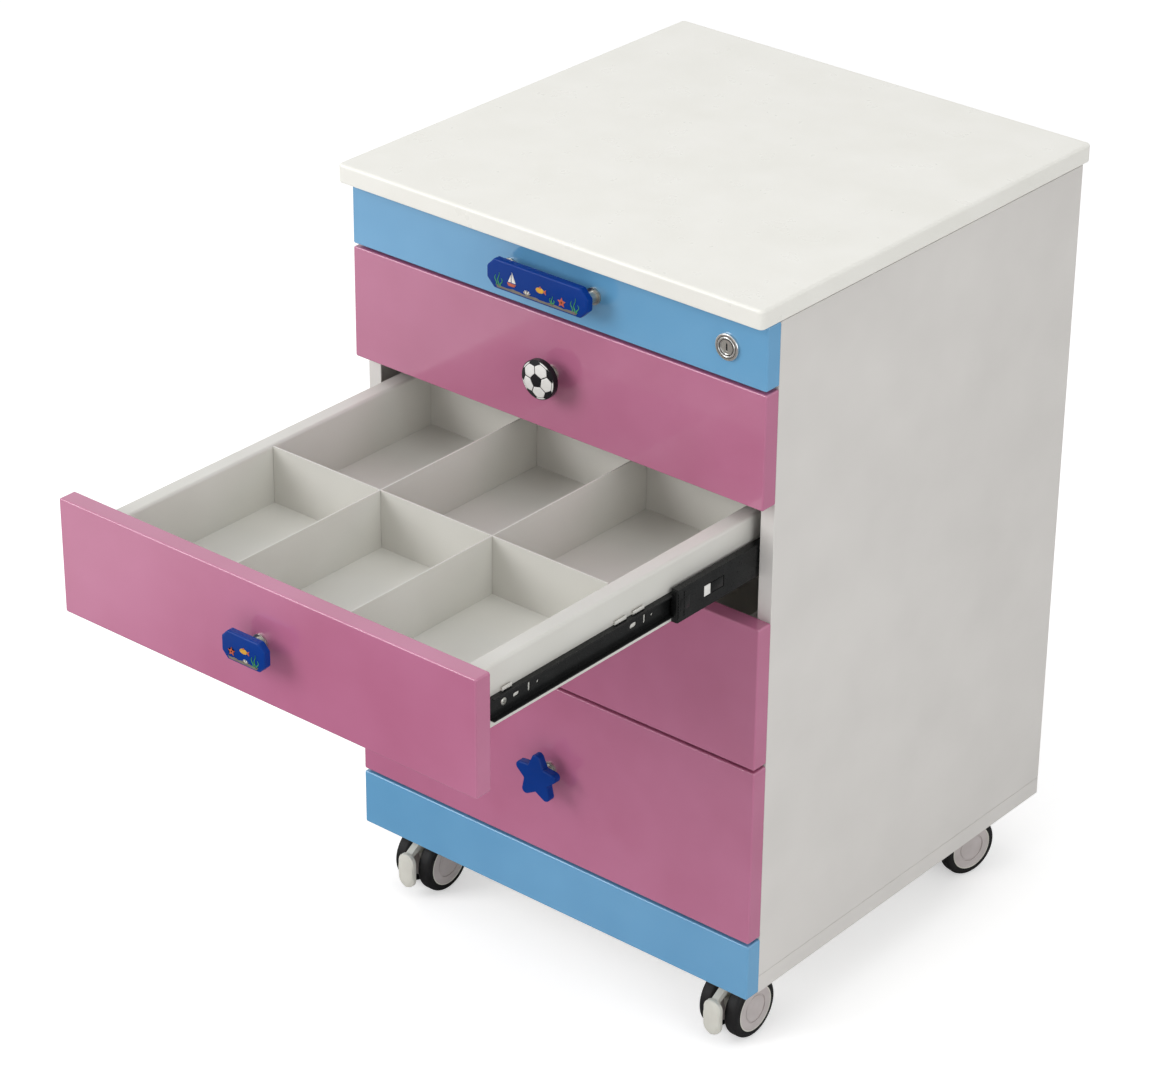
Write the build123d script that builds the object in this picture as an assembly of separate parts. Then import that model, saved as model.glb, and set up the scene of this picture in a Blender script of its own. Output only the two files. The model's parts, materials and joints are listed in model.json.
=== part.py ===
from build123d import *
import os
from math import cos, pi, sin, sqrt

# Mobile drawer cabinet for a dental room: steel carcass on four twin-wheel castors, mineral worktop,
# one shallow lockable drawer, four deeper drawers on full-extension ball runners, a fixed plinth.
# Millimetres. The fronts face -Y, +Z is up, the floor is z = 0. The second drawer stands open.

# ---- overall sizes -------------------------------------------------------------------------------
CABINET_WIDTH = 480.0
BOX_DEPTH = 412.5                # drawer boxes; the runners, the travel and the body follow it
CASTOR_HEIGHT = 74.5             # floor to the underside of the body
SHEET = 1.2                      # carcass and front sheet
TOUCH_GAP = 0.5                  # between the fronts' backs and the carcass flanges

# ---- worktop -------------------------------------------------------------------------------------
WORKTOP_THICKNESS = 18.5
WORKTOP_SIDE_OVERHANG = 4.0
WORKTOP_FRONT_OVERHANG = 15.0
WORKTOP_BACK_OVERHANG = 6.5
WORKTOP_CORNER_RADIUS = 5.0
WORKTOP_EDGE_RADIUS = 3.0
UNDERLAY_THICKNESS = 3.0         # also the height of the shadow gap
UNDERLAY_INSET = 7.0

# ---- carcass -------------------------------------------------------------------------------------
FRONT_FLANGE = 15.0              # side panel's return at the opening, measured across the width
BACK_FLANGE = 12.0
BOTTOM_FLANGE = 20.0
TOP_FLANGE = 14.0                # down-turned rim of the top panel; the lock's cam catches behind it
HEM_HEIGHT = 18.0                # groove of the folded hem above the side panel's lower edge
HEM_GROOVE_WIDTH = 0.8
HEM_GROOVE_DEPTH = 0.3
POST_WIDTH = 30.0                # slotted runner posts inside the side panels
POST_SHEET = 1.5
POST_SETBACK = 40.0              # from the carcass front edge to the front posts
POST_END_GAP = 2.0

# ---- drawer fronts, from the top downwards --------------------------------------------------------
FRONT_THICKNESS = 17.0
FRONT_GAP = 3.0
FRONT_CORNER_RADIUS = 2.0
FRONT_EDGE_RADIUS = 1.5
ACCESS_HOLE_DIAMETER = 12.0      # in the front's back sheet, for the knob's screw
TOP_DRAWER_HEIGHT = 61.0
DRAWER_1_HEIGHT = 111.5
DRAWER_2_HEIGHT = 112.0
DRAWER_3_HEIGHT = 145.0
DRAWER_4_HEIGHT = 184.0
PLINTH_HEIGHT = 59.0

# ---- drawer boxes --------------------------------------------------------------------------------
BOX_SHEET = 1.0
BOX_BACK_GAP = 49.3              # behind the boxes, to the back panel
BOX_WALL = 17.0                  # double-skinned side wall, and the width of its rim
BOX_RIM_RADIUS = 3.0
BOX_TOP_DROP = 17.0              # front's upper edge down to the box rim
BOX_BOTTOM_RISE = 36.0           # front's lower edge up to the box floor
TOP_BOX_BOTTOM_RISE = 10.0
DIVIDER_SHEET = 1.5
DIVIDER_DROP = 1.0               # dividers stay this much under the rim
CROSS_DIVIDER_SETBACK = 201.0    # from the fronts' backs to the cross divider
CROSS_DIVIDER_FIT = 0.3

# ---- ball runners --------------------------------------------------------------------------------
RUNNER_THICKNESS = 12.7          # drawer wall to post
RUNNER_SHEET = 1.2
RUNNER_SETBACK = 45.5            # from the fronts' faces to the fixed member
RUNNER_SHORTER = 12.5            # fixed member shorter than the box
TRAVEL_SHORTER = 26.5            # travel shorter than the fixed member
RUNNER_MIDDLE_SETBACK = 46.5     # the middle member's front end behind the fixed member's
RUNNER_INNER_SHORTER = 17.0      # the drawer member ends this much before the fixed one
RUNNER_RISE = 19.0               # box underside to the runner's centre line
TOP_RUNNER_RISE = 17.0
OUTER_MEMBER_HEIGHT = 42.0
MIDDLE_MEMBER_HEIGHT = 32.0
INNER_MEMBER_HEIGHT = 21.5
OUTER_MEMBER_DEPTH = 11.0
MIDDLE_MEMBER_DEPTH = 7.0
INNER_MEMBER_DEPTH = 6.2
MIDDLE_WEB_GAP = 1.3             # between the webs of the fixed and the middle member
BALL_GAP = 0.3                   # ball retainers to the member that runs on them
RETAINER_LENGTH = 150.0
RETAINER_WIDTH = 3.5
RUNNER_CUTS = (                  # along the drawer member: place, length and height
    (17.0, 4.6, 4.6),
    (33.0, 8.0, 4.0),
    (49.0, 3.0, 9.0),
    (60.0, 3.2, 3.2),
    (184.0, 9.0, 5.0),
    (199.0, 3.0, 9.0),
    (209.0, 3.2, 3.2),
)
RUNNER_REAR_HOLE = 38.0          # last screw hole, from the drawer member's rear end
RUNNER_REAR_HOLE_DIAMETER = 4.6
RUNNER_WINDOW_LENGTH = 28.0
RUNNER_WINDOW_HEIGHT = 11.0
RUNNER_WINDOW_SETBACK = 36.0

# ---- knobs and the long handle ---------------------------------------------------------------------
KNOB_REACH = 22.0                # from the front's face to the knob's flat face
KNOB_THICKNESS = 8.0
KNOB_RISE = 2.0                  # knob centre above the middle of its front
KNOB_EDGE_RADIUS = 1.8
BALL_KNOB_DIAMETER = 38.0
BALL_KNOB_DOME = 3.0
PLATE_KNOB_WIDTH = 50.0
PLATE_KNOB_HEIGHT = 27.5
PLATE_KNOB_CHAMFER = 6.8
PLATE_SOFTENING = 3.0            # radius at the corners of the eight-sided plates
STAR_KNOB_RADIUS = 25.2
STAR_KNOB_CORE_RADIUS = 13.2
STAR_KNOB_TIP_RADIUS = 4.9
STAR_KNOB_VALLEY_RADIUS = 2.0
FLOWER_KNOB_RADIUS = 22.0
FLOWER_PETAL_RADIUS = 9.5
HANDLE_LENGTH = 116.5
HANDLE_HEIGHT = 28.3
HANDLE_CHAMFER = 8.5
HANDLE_RISE = 2.75
HANDLE_POST_SPACING = 96.0
STEM_DIAMETER = 11.0
STEM_FOOT_DIAMETER = 16.0
STEM_FOOT_THICKNESS = 2.0
STEM_SCREW_DIAMETER = 4.0
STEM_SCREW_HEAD_DIAMETER = 8.0
STEM_SCREW_HEAD_HEIGHT = 3.0

# ---- cam lock ------------------------------------------------------------------------------------
LOCK_FROM_SIDE = 43.0            # lock axis to the cabinet's right side
LOCK_BELOW_WORKTOP = 33.4
LOCK_RING_DIAMETER = 25.0
LOCK_RING_THICKNESS = 2.5
LOCK_BARREL_DIAMETER = 18.0
LOCK_BARREL_LENGTH = 21.0        # behind the front's face
LOCK_PLUG_DIAMETER = 13.0
LOCK_PLUG_RECESS = 0.6
LOCK_FIT = 0.05
KEY_SLOT_WIDTH = 1.6
KEY_SLOT_HEIGHT = 7.0
KEY_SLOT_DEPTH = 8.0
CAM_LENGTH = 23.0
CAM_WIDTH = 12.0
CAM_THICKNESS = 2.0
CAM_GAP = 0.3
LOCK_NOTCH_SIDE = 30.0           # box corner left out around the lock
LOCK_NOTCH_DEPTH = 24.0

# ---- castors -------------------------------------------------------------------------------------
CASTOR_FROM_SIDE = 46.0          # swivel axis to the cabinet's side
CASTOR_FROM_FRONT = 64.0
CASTOR_FROM_BACK = 48.0
CASTOR_TRAIL = 18.0              # wheel axle in front of the swivel axis
BACK_RIGHT_TURN = -14.0          # this castor stands swivelled
PLATE_SIZE = 60.0
PLATE_THICKNESS = 2.5
PLATE_BOLT_SPACING = 44.0
BOLT_DIAMETER = 6.0
BOLT_CLEARANCE = 0.2
BOLT_HEAD_HEIGHT = 3.5
BOLT_HEAD_WIDTH = 10.0
NUT_HEIGHT = 4.0
KINGPIN_DIAMETER = 10.0
RUNNING_FIT = 0.05
RACE_DIAMETER = 36.0
RACE_HEIGHT = 8.0
SWIVEL_GAP = 0.3
WHEEL_DIAMETER = 62.0
WHEEL_WIDTH = 15.3
WHEEL_SHOULDER = 4.5
WHEEL_GAP = 0.8                  # wheel to the hood between the wheels
HUB_DIAMETER = 47.0
HUB_DISH = 1.0
HUB_DISH_DIAMETER = 30.0
HOOD_WIDTH = 13.0
HOOD_AXLE_RADIUS = 11.0
AXLE_DIAMETER = 8.0
AXLE_END_WALL = 3.0              # hub left in front of the axle's end
PEDAL_HINGE_FORWARD = 30.0       # from the swivel axis
PEDAL_HINGE_HEIGHT = 57.0
PEDAL_PIN_DIAMETER = 4.0
PEDAL_EAR_RADIUS = 5.0
PEDAL_WIDTH = 20.0
PEDAL_LENGTH = 38.0
PEDAL_THICKNESS = 4.5
PEDAL_CENTRE_HEIGHT = 31.0
PEDAL_WHEEL_GAP = 3.5
PEDAL_EAR_GAP = 0.3
PEDAL_CHEEK = 2.6

# ---- sizes and planes worked out from them -----------------------------------------------------------
RUNNER_LENGTH = BOX_DEPTH - RUNNER_SHORTER
DRAWER_TRAVEL = RUNNER_LENGTH - TRAVEL_SHORTER
CABINET_DEPTH = FRONT_THICKNESS + BOX_DEPTH + BOX_BACK_GAP + SHEET
FRONT_HEIGHTS = TOP_DRAWER_HEIGHT + DRAWER_1_HEIGHT + DRAWER_2_HEIGHT + DRAWER_3_HEIGHT + DRAWER_4_HEIGHT
BODY_HEIGHT = UNDERLAY_THICKNESS + FRONT_HEIGHTS + 5 * FRONT_GAP + PLINTH_HEIGHT
OPEN_REACH = DRAWER_TRAVEL + KNOB_REACH
FRONT_Y = (OPEN_REACH - CABINET_DEPTH - WORKTOP_BACK_OVERHANG) / 2
CARCASS_Y = FRONT_Y + FRONT_THICKNESS + TOUCH_GAP
BACK_Y = FRONT_Y + CABINET_DEPTH
SIDE_X = CABINET_WIDTH / 2
INNER_X = SIDE_X - SHEET
BODY_BOTTOM_Z = CASTOR_HEIGHT
WORKTOP_Z = CASTOR_HEIGHT + BODY_HEIGHT
CARCASS_TOP_Z = WORKTOP_Z - UNDERLAY_THICKNESS
POST_X = SIDE_X - FRONT_FLANGE + TOUCH_GAP * 2
BOX_X = POST_X - RUNNER_THICKNESS
HUB_HALF = HOOD_WIDTH / 2 + WHEEL_GAP
WHEEL_RADIUS = WHEEL_DIAMETER / 2

DRAWERS = (
    {"name": "top_drawer", "height": TOP_DRAWER_HEIGHT, "rise": TOP_BOX_BOTTOM_RISE,
     "runner": TOP_RUNNER_RISE, "open": 0.0},
    {"name": "drawer_1", "height": DRAWER_1_HEIGHT, "rise": BOX_BOTTOM_RISE,
     "runner": RUNNER_RISE, "open": 0.0},
    {"name": "drawer_2", "height": DRAWER_2_HEIGHT, "rise": BOX_BOTTOM_RISE,
     "runner": RUNNER_RISE, "open": DRAWER_TRAVEL},
    {"name": "drawer_3", "height": DRAWER_3_HEIGHT, "rise": BOX_BOTTOM_RISE,
     "runner": RUNNER_RISE, "open": 0.0},
    {"name": "drawer_4", "height": DRAWER_4_HEIGHT, "rise": BOX_BOTTOM_RISE,
     "runner": RUNNER_RISE, "open": 0.0},
)

front_top = CARCASS_TOP_Z
for drawer in DRAWERS:
    drawer["top"] = front_top
    drawer["bottom"] = front_top - drawer["height"]
    drawer["box_top"] = drawer["top"] - BOX_TOP_DROP
    drawer["box_bottom"] = drawer["bottom"] + drawer["rise"]
    drawer["runner_z"] = drawer["box_bottom"] + drawer["runner"]
    front_top = drawer["bottom"] - FRONT_GAP
PLINTH_TOP_Z = front_top

CASTORS = (
    {"name": "castor_front_left", "x": -(SIDE_X - CASTOR_FROM_SIDE),
     "y": FRONT_Y + CASTOR_FROM_FRONT, "brake": True, "turn": 0.0},
    {"name": "castor_front_right", "x": SIDE_X - CASTOR_FROM_SIDE,
     "y": FRONT_Y + CASTOR_FROM_FRONT, "brake": True, "turn": 0.0},
    {"name": "castor_back_left", "x": -(SIDE_X - CASTOR_FROM_SIDE),
     "y": BACK_Y - CASTOR_FROM_BACK, "brake": False, "turn": 0.0},
    {"name": "castor_back_right", "x": SIDE_X - CASTOR_FROM_SIDE,
     "y": BACK_Y - CASTOR_FROM_BACK, "brake": False, "turn": BACK_RIGHT_TURN},
)


# ---- building helpers ------------------------------------------------------------------------------
def block(x0, x1, y0, y1, z0, z1):
    """A box between two corners, given in any order."""
    size = (abs(x1 - x0), abs(y1 - y0), abs(z1 - z0))
    return Pos((x0 + x1) / 2, (y0 + y1) / 2, (z0 + z1) / 2) * Box(*size)


def rod_x(radius, x0, x1, y, z):
    """A cylinder along X."""
    return Pos((x0 + x1) / 2, y, z) * Rot(0, 90, 0) * Cylinder(radius, abs(x1 - x0))


def rod_y(radius, y0, y1, x, z):
    """A cylinder along Y."""
    return Pos(x, (y0 + y1) / 2, z) * Rot(90, 0, 0) * Cylinder(radius, abs(y1 - y0))


def rod_z(radius, z0, z1, x, y):
    """A cylinder along Z."""
    return Pos(x, y, (z0 + z1) / 2) * Cylinder(radius, abs(z1 - z0))


def face_plane(y):
    """The XZ plane at y: a sketch on it is seen from the front, and extrudes towards -Y."""
    return Plane(origin=(0, y, 0), x_dir=(1, 0, 0), z_dir=(0, -1, 0))


def both_sides(shape):
    """The shape and its mirror image across the cabinet's middle plane."""
    return [shape, mirror(shape, about=Plane.YZ)]


def save(name, solids):
    """One STEP file per node; a list becomes a group of separate solids."""
    shape = Compound(children=list(solids)) if isinstance(solids, list) else solids
    shape.label = name
    export_step(shape, f"parts/{name}.step")


# ---- carcass -------------------------------------------------------------------------------------
def side_panel():
    """Right side panel: skin with returns at the front, the back and the lower edge."""
    skin = block(INNER_X, SIDE_X, CARCASS_Y, BACK_Y, BODY_BOTTOM_Z, CARCASS_TOP_Z)
    front = block(SIDE_X - FRONT_FLANGE, INNER_X, CARCASS_Y, CARCASS_Y + SHEET,
                  BODY_BOTTOM_Z, CARCASS_TOP_Z)
    back = block(INNER_X - BACK_FLANGE, INNER_X, BACK_Y - 2 * SHEET, BACK_Y - SHEET,
                 BODY_BOTTOM_Z + SHEET, CARCASS_TOP_Z - SHEET)
    hem_z = BODY_BOTTOM_Z + HEM_HEIGHT
    groove = block(SIDE_X - HEM_GROOVE_DEPTH, SIDE_X, CARCASS_Y, BACK_Y,
                   hem_z, hem_z + HEM_GROOVE_WIDTH)
    panel = skin + front + back
    fold = panel.edges().filter_by(Axis.Z).sort_by(Axis.Y)[0:2].sort_by(Axis.X)[-1]
    return fillet(fold, SHEET * 0.6) - groove


def back_panel():
    return block(-INNER_X, INNER_X, BACK_Y - SHEET, BACK_Y, BODY_BOTTOM_Z, CARCASS_TOP_Z)


def top_panel():
    """Flat top with rims under its front and its back edge."""
    front_y = CARCASS_Y
    back_y = BACK_Y - 2 * SHEET
    half = SIDE_X - FRONT_FLANGE
    rim_z = CARCASS_TOP_Z - TOP_FLANGE
    rim_top = CARCASS_TOP_Z - SHEET
    sheet = block(-half, half, front_y, BACK_Y - SHEET, CARCASS_TOP_Z - SHEET, CARCASS_TOP_Z)
    wings = block(-INNER_X, INNER_X, front_y + SHEET, BACK_Y - SHEET,
                  CARCASS_TOP_Z - SHEET, CARCASS_TOP_Z)
    front = block(-half, half, front_y, front_y + SHEET, rim_z, rim_top)
    back_half = INNER_X - BACK_FLANGE
    back = block(-back_half, back_half, back_y, BACK_Y - SHEET, rim_z, rim_top)
    return [sheet + wings, front, back]


def castor_bolt_points(castor):
    """The four bolts of one castor plate."""
    half = PLATE_BOLT_SPACING / 2
    return [(castor["x"] + sx * half, castor["y"] + sy * half) for sx in (-1, 1) for sy in (-1, 1)]


def bottom_panel():
    """Floor tray with upturned edges, drilled for the castor plates."""
    z0 = BODY_BOTTOM_Z
    z1 = z0 + SHEET
    rim = z0 + BOTTOM_FLANGE
    half = SIDE_X - FRONT_FLANGE
    tray = block(-INNER_X, INNER_X, CARCASS_Y + SHEET, BACK_Y - SHEET, z0, z1)
    tray += block(-half, half, CARCASS_Y, CARCASS_Y + SHEET, z0, rim)
    for side in (-1, 1):
        tray += block(side * (INNER_X - SHEET), side * INNER_X,
                      CARCASS_Y + SHEET, BACK_Y - 2 * SHEET, z0, rim)
    hole = BOLT_DIAMETER / 2 + BOLT_CLEARANCE
    for castor in CASTORS:
        for x, y in castor_bolt_points(castor):
            tray -= rod_z(hole, z0 - 1, z1 + 1, x, y)
    return tray


def runner_posts():
    """Four upright channels that carry the runners, open towards the side panels."""
    z0 = BODY_BOTTOM_Z + SHEET
    z1 = CARCASS_TOP_Z - TOP_FLANGE - POST_END_GAP
    outer_x = INNER_X - SHEET
    posts = []
    front = CARCASS_Y + POST_SETBACK
    back = FRONT_Y + RUNNER_SETBACK + RUNNER_LENGTH - POST_WIDTH
    for y in (front, back):
        post = block(POST_X, INNER_X, y, y + POST_WIDTH, BODY_BOTTOM_Z + BOTTOM_FLANGE, z1)
        post += block(POST_X, outer_x, y, y + POST_WIDTH, z0, BODY_BOTTOM_Z + BOTTOM_FLANGE)
        post -= block(POST_X + POST_SHEET, INNER_X, y + POST_SHEET, y + POST_WIDTH - POST_SHEET,
                      z0, z1)
        posts += both_sides(post)
    return posts


def worktop_size():
    """Width, depth and centre of the worktop."""
    width = CABINET_WIDTH + 2 * WORKTOP_SIDE_OVERHANG
    depth = CABINET_DEPTH + WORKTOP_FRONT_OVERHANG + WORKTOP_BACK_OVERHANG
    centre_y = (FRONT_Y - WORKTOP_FRONT_OVERHANG + BACK_Y + WORKTOP_BACK_OVERHANG) / 2
    return width, depth, centre_y


def worktop():
    """Mineral slab with rounded corners and a rounded upper edge."""
    width, depth, centre_y = worktop_size()
    outline = Pos(0, centre_y, WORKTOP_Z) * RectangleRounded(width, depth, WORKTOP_CORNER_RADIUS)
    slab = extrude(outline, WORKTOP_THICKNESS)
    top_edges = slab.faces().sort_by(Axis.Z)[-1].edges()
    slab = fillet(top_edges, WORKTOP_EDGE_RADIUS)
    low_edges = slab.faces().sort_by(Axis.Z)[0].edges()
    return fillet(low_edges, WORKTOP_EDGE_RADIUS / 2)


def worktop_underlay():
    """Thin board between the steel top and the worktop; it makes the shadow gap."""
    half = SIDE_X - UNDERLAY_INSET
    return block(-half, half, CARCASS_Y + UNDERLAY_INSET, BACK_Y - UNDERLAY_INSET,
                 CARCASS_TOP_Z, WORKTOP_Z)


def front_pan(z0, z1, depth):
    """Hollow steel front: face, four turned edges and a back sheet."""
    y0 = FRONT_Y
    y1 = FRONT_Y + depth
    outline = RectangleRounded(CABINET_WIDTH, z1 - z0, FRONT_CORNER_RADIUS)
    pan = extrude(face_plane(y1) * Pos(0, (z0 + z1) / 2) * outline, depth)
    pan = fillet(pan.faces().sort_by(Axis.Y)[0].edges(), FRONT_EDGE_RADIUS)
    inner_x = SIDE_X - SHEET
    hollow = block(-inner_x, inner_x, y0 + SHEET, y1 - SHEET, z0 + SHEET, z1 - SHEET)
    hollow = fillet(hollow.edges().filter_by(Axis.Y), FRONT_CORNER_RADIUS - SHEET)
    return pan - hollow


def plinth():
    """Fixed front under the lowest drawer; it reaches back to the carcass flanges."""
    return front_pan(BODY_BOTTOM_Z, PLINTH_TOP_Z, FRONT_THICKNESS + TOUCH_GAP)


# ---- ball runners --------------------------------------------------------------------------------
def channel(x_web, towards, depth, height, y0, y1, z):
    """A C-channel along Y: the web at x_web, its flanges reaching towards the other member."""
    half = height / 2
    web = block(x_web, x_web + towards * RUNNER_SHEET, y0, y1, z - half, z + half)
    shape = web
    for side in (-1, 1):
        shape += block(x_web, x_web + towards * depth, y0, y1,
                       z + side * half, z + side * (half - RUNNER_SHEET))
    return shape


def outer_member(z):
    """Fixed member, screwed to the posts."""
    y0 = FRONT_Y + RUNNER_SETBACK
    return channel(POST_X, -1, OUTER_MEMBER_DEPTH, OUTER_MEMBER_HEIGHT, y0, y0 + RUNNER_LENGTH, z)


def middle_web_x():
    """Post side of the middle member's web."""
    return POST_X - RUNNER_SHEET - MIDDLE_WEB_GAP


def middle_member(z, shift):
    """Middle member with its ball retainers, moved out by shift."""
    y0 = FRONT_Y + RUNNER_SETBACK + RUNNER_MIDDLE_SETBACK - shift
    y1 = FRONT_Y + RUNNER_SETBACK + RUNNER_LENGTH - shift
    x_web = middle_web_x()
    member = channel(x_web, -1, MIDDLE_MEMBER_DEPTH, MIDDLE_MEMBER_HEIGHT, y0, y1, z)
    half = MIDDLE_MEMBER_HEIGHT / 2
    x_strip = x_web - RUNNER_SHEET
    for side in (-1, 1):
        outside = z + side * (OUTER_MEMBER_HEIGHT / 2 - RUNNER_SHEET - BALL_GAP)
        member += block(x_strip - RETAINER_WIDTH, x_strip, y1 - RETAINER_LENGTH, y1,
                        z + side * half, outside)
        inside = z + side * (INNER_MEMBER_HEIGHT / 2 + BALL_GAP)
        x_tip = x_web - MIDDLE_MEMBER_DEPTH
        member += block(x_tip, x_tip + RETAINER_WIDTH, y0, y0 + RETAINER_LENGTH,
                        z + side * (half - RUNNER_SHEET), inside)
    window_y = y0 + RUNNER_WINDOW_SETBACK
    tall = RUNNER_WINDOW_HEIGHT / 2
    member -= block(x_strip, x_web, window_y, window_y + RUNNER_WINDOW_LENGTH, z - tall, z + tall)
    return member


def inner_member(z, shift):
    """Drawer member, screwed to the drawer's side wall, moved out by shift."""
    y0 = FRONT_Y + RUNNER_SETBACK - shift
    y1 = y0 + RUNNER_LENGTH - RUNNER_INNER_SHORTER
    member = channel(BOX_X, 1, INNER_MEMBER_DEPTH, INNER_MEMBER_HEIGHT, y0, y1, z)
    side = Plane(origin=(BOX_X - 1, 0, 0), x_dir=(0, 1, 0), z_dir=(1, 0, 0))
    for along, length, height in RUNNER_CUTS:
        outline = Pos(y0 + along, z) * cut_outline(length, height)
        member -= extrude(side * outline, RUNNER_SHEET + 2)
    rear_hole = Pos(y1 - RUNNER_REAR_HOLE, z) * Circle(RUNNER_REAR_HOLE_DIAMETER / 2)
    return member - extrude(side * rear_hole, RUNNER_SHEET + 2)


def cut_outline(length, height):
    """A round hole, or a slot with round ends lying along or across the runner."""
    if length == height:
        return Circle(length / 2)
    slot = SlotOverall(max(length, height), min(length, height))
    return slot if length > height else Rot(0, 0, 90) * slot


# ---- drawers -------------------------------------------------------------------------------------
def side_wall(z0, z1, y0, y1):
    """Right double-skinned wall of a drawer box: an upside-down U along Y with a rounded rim."""
    height = z1 - z0
    outside = RectangleRounded(BOX_WALL, height + BOX_WALL, BOX_RIM_RADIUS)
    inside = RectangleRounded(BOX_WALL - 2 * BOX_SHEET, height + BOX_WALL - 2 * BOX_SHEET,
                              BOX_RIM_RADIUS - BOX_SHEET)
    centre = (BOX_X - BOX_WALL / 2, z1 - (height + BOX_WALL) / 2)
    section = face_plane(y1) * Pos(*centre) * (outside - inside)
    wall = extrude(section, y1 - y0)
    below = block(BOX_X - BOX_WALL - 1, BOX_X + 1, y0 - 1, y1 + 1, z0 - BOX_WALL - 1, z0)
    return wall - below


def drawer_box(drawer):
    """Open steel box of sheets that meet face to face; the shallow one leaves room for the lock."""
    y0 = FRONT_Y + FRONT_THICKNESS
    y1 = y0 + BOX_DEPTH
    z0 = drawer["box_bottom"]
    z1 = drawer["box_top"]
    wall_z0 = z0 + BOX_SHEET
    wall_z1 = z1 - BOX_RIM_RADIUS
    inner_x = BOX_X - BOX_WALL
    front_x = inner_x
    right_y0 = y0
    floor = block(-inner_x, inner_x, y0, y1, z0, wall_z0)
    sheets = []
    if drawer["name"] == "top_drawer":
        notch_x = BOX_X - LOCK_NOTCH_SIDE
        front_x = notch_x - BOX_SHEET
        right_y0 = y0 + LOCK_NOTCH_DEPTH
        floor -= block(notch_x, inner_x, y0, right_y0, z0, wall_z0)
        sheets.append(block(front_x, notch_x, y0, right_y0, wall_z0, wall_z1))
        sheets.append(block(front_x, inner_x, right_y0, right_y0 + BOX_SHEET, wall_z0, wall_z1))
    front = block(-inner_x, front_x, y0, y0 + BOX_SHEET, wall_z0, wall_z1)
    for x, z in stem_points(drawer):
        front -= rod_y(ACCESS_HOLE_DIAMETER / 2, y0 - 1, y0 + BOX_SHEET + 1, x, z)
    back = block(-inner_x, inner_x, y1 - BOX_SHEET, y1, wall_z0, wall_z1)
    right = side_wall(z0, z1, right_y0, y1)
    left = mirror(side_wall(z0, z1, y0, y1), about=Plane.YZ)
    sheets += [floor, front, back, right, left]
    return [Pos(0, -drawer["open"], 0) * sheet for sheet in sheets]


def drawer_front(drawer):
    """Front of one drawer, with the holes for its knob screws and its lock."""
    front = front_pan(drawer["bottom"], drawer["top"], FRONT_THICKNESS)
    inside_y = FRONT_Y + FRONT_THICKNESS / 2
    for x, z in stem_points(drawer):
        front -= rod_y(STEM_SCREW_DIAMETER / 2 + BOLT_CLEARANCE, FRONT_Y - 1, inside_y, x, z)
        front -= rod_y(ACCESS_HOLE_DIAMETER / 2, inside_y, FRONT_Y + FRONT_THICKNESS + 1, x, z)
    if drawer["name"] == "top_drawer":
        front -= rod_y(LOCK_BARREL_DIAMETER / 2 + BOLT_CLEARANCE, FRONT_Y - 1,
                       FRONT_Y + FRONT_THICKNESS + 1, LOCK_X, LOCK_Z)
    return Pos(0, -drawer["open"], 0) * front


def dividers(drawer):
    """Cross divider and two lengthwise pairs: six compartments in the open drawer."""
    y0 = FRONT_Y + FRONT_THICKNESS + BOX_SHEET
    y1 = FRONT_Y + FRONT_THICKNESS + BOX_DEPTH - BOX_SHEET
    cross_y = FRONT_Y + FRONT_THICKNESS + CROSS_DIVIDER_SETBACK
    z0 = drawer["box_bottom"] + BOX_SHEET
    z1 = drawer["box_top"] - DIVIDER_DROP
    half = BOX_X - BOX_WALL - CROSS_DIVIDER_FIT
    pieces = [block(-half, half, cross_y - DIVIDER_SHEET / 2, cross_y + DIVIDER_SHEET / 2, z0, z1)]
    third = (BOX_X - BOX_WALL) * 2 / 3
    for x in (-third / 2, third / 2):
        for start, end in ((y0, cross_y - DIVIDER_SHEET / 2), (cross_y + DIVIDER_SHEET / 2, y1)):
            pieces.append(block(x - DIVIDER_SHEET / 2, x + DIVIDER_SHEET / 2,
                                start + CROSS_DIVIDER_FIT, end - CROSS_DIVIDER_FIT, z0, z1))
    return [Pos(0, -drawer["open"], 0) * piece for piece in pieces]


# ---- knobs ---------------------------------------------------------------------------------------
def knob_centre(drawer):
    """X and Z of the knob, or of the handle's middle."""
    rise = HANDLE_RISE if drawer["name"] == "top_drawer" else KNOB_RISE
    return 0.0, (drawer["top"] + drawer["bottom"]) / 2 + rise


def stem_points(drawer):
    """X and Z of each stem behind the knob or the handle."""
    x, z = knob_centre(drawer)
    if drawer["name"] == "top_drawer":
        return [(x - HANDLE_POST_SPACING / 2, z), (x + HANDLE_POST_SPACING / 2, z)]
    return [(x, z)]


def eight_sided(width, height, corner):
    """A rectangle with its corners cut off, softened where the edges meet."""
    outline = chamfer(Rectangle(width, height).vertices(), corner)
    return fillet(outline.vertices(), PLATE_SOFTENING)


def plate_outline():
    return eight_sided(PLATE_KNOB_WIDTH, PLATE_KNOB_HEIGHT, PLATE_KNOB_CHAMFER)


def handle_outline():
    return eight_sided(HANDLE_LENGTH, HANDLE_HEIGHT, HANDLE_CHAMFER)


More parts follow.
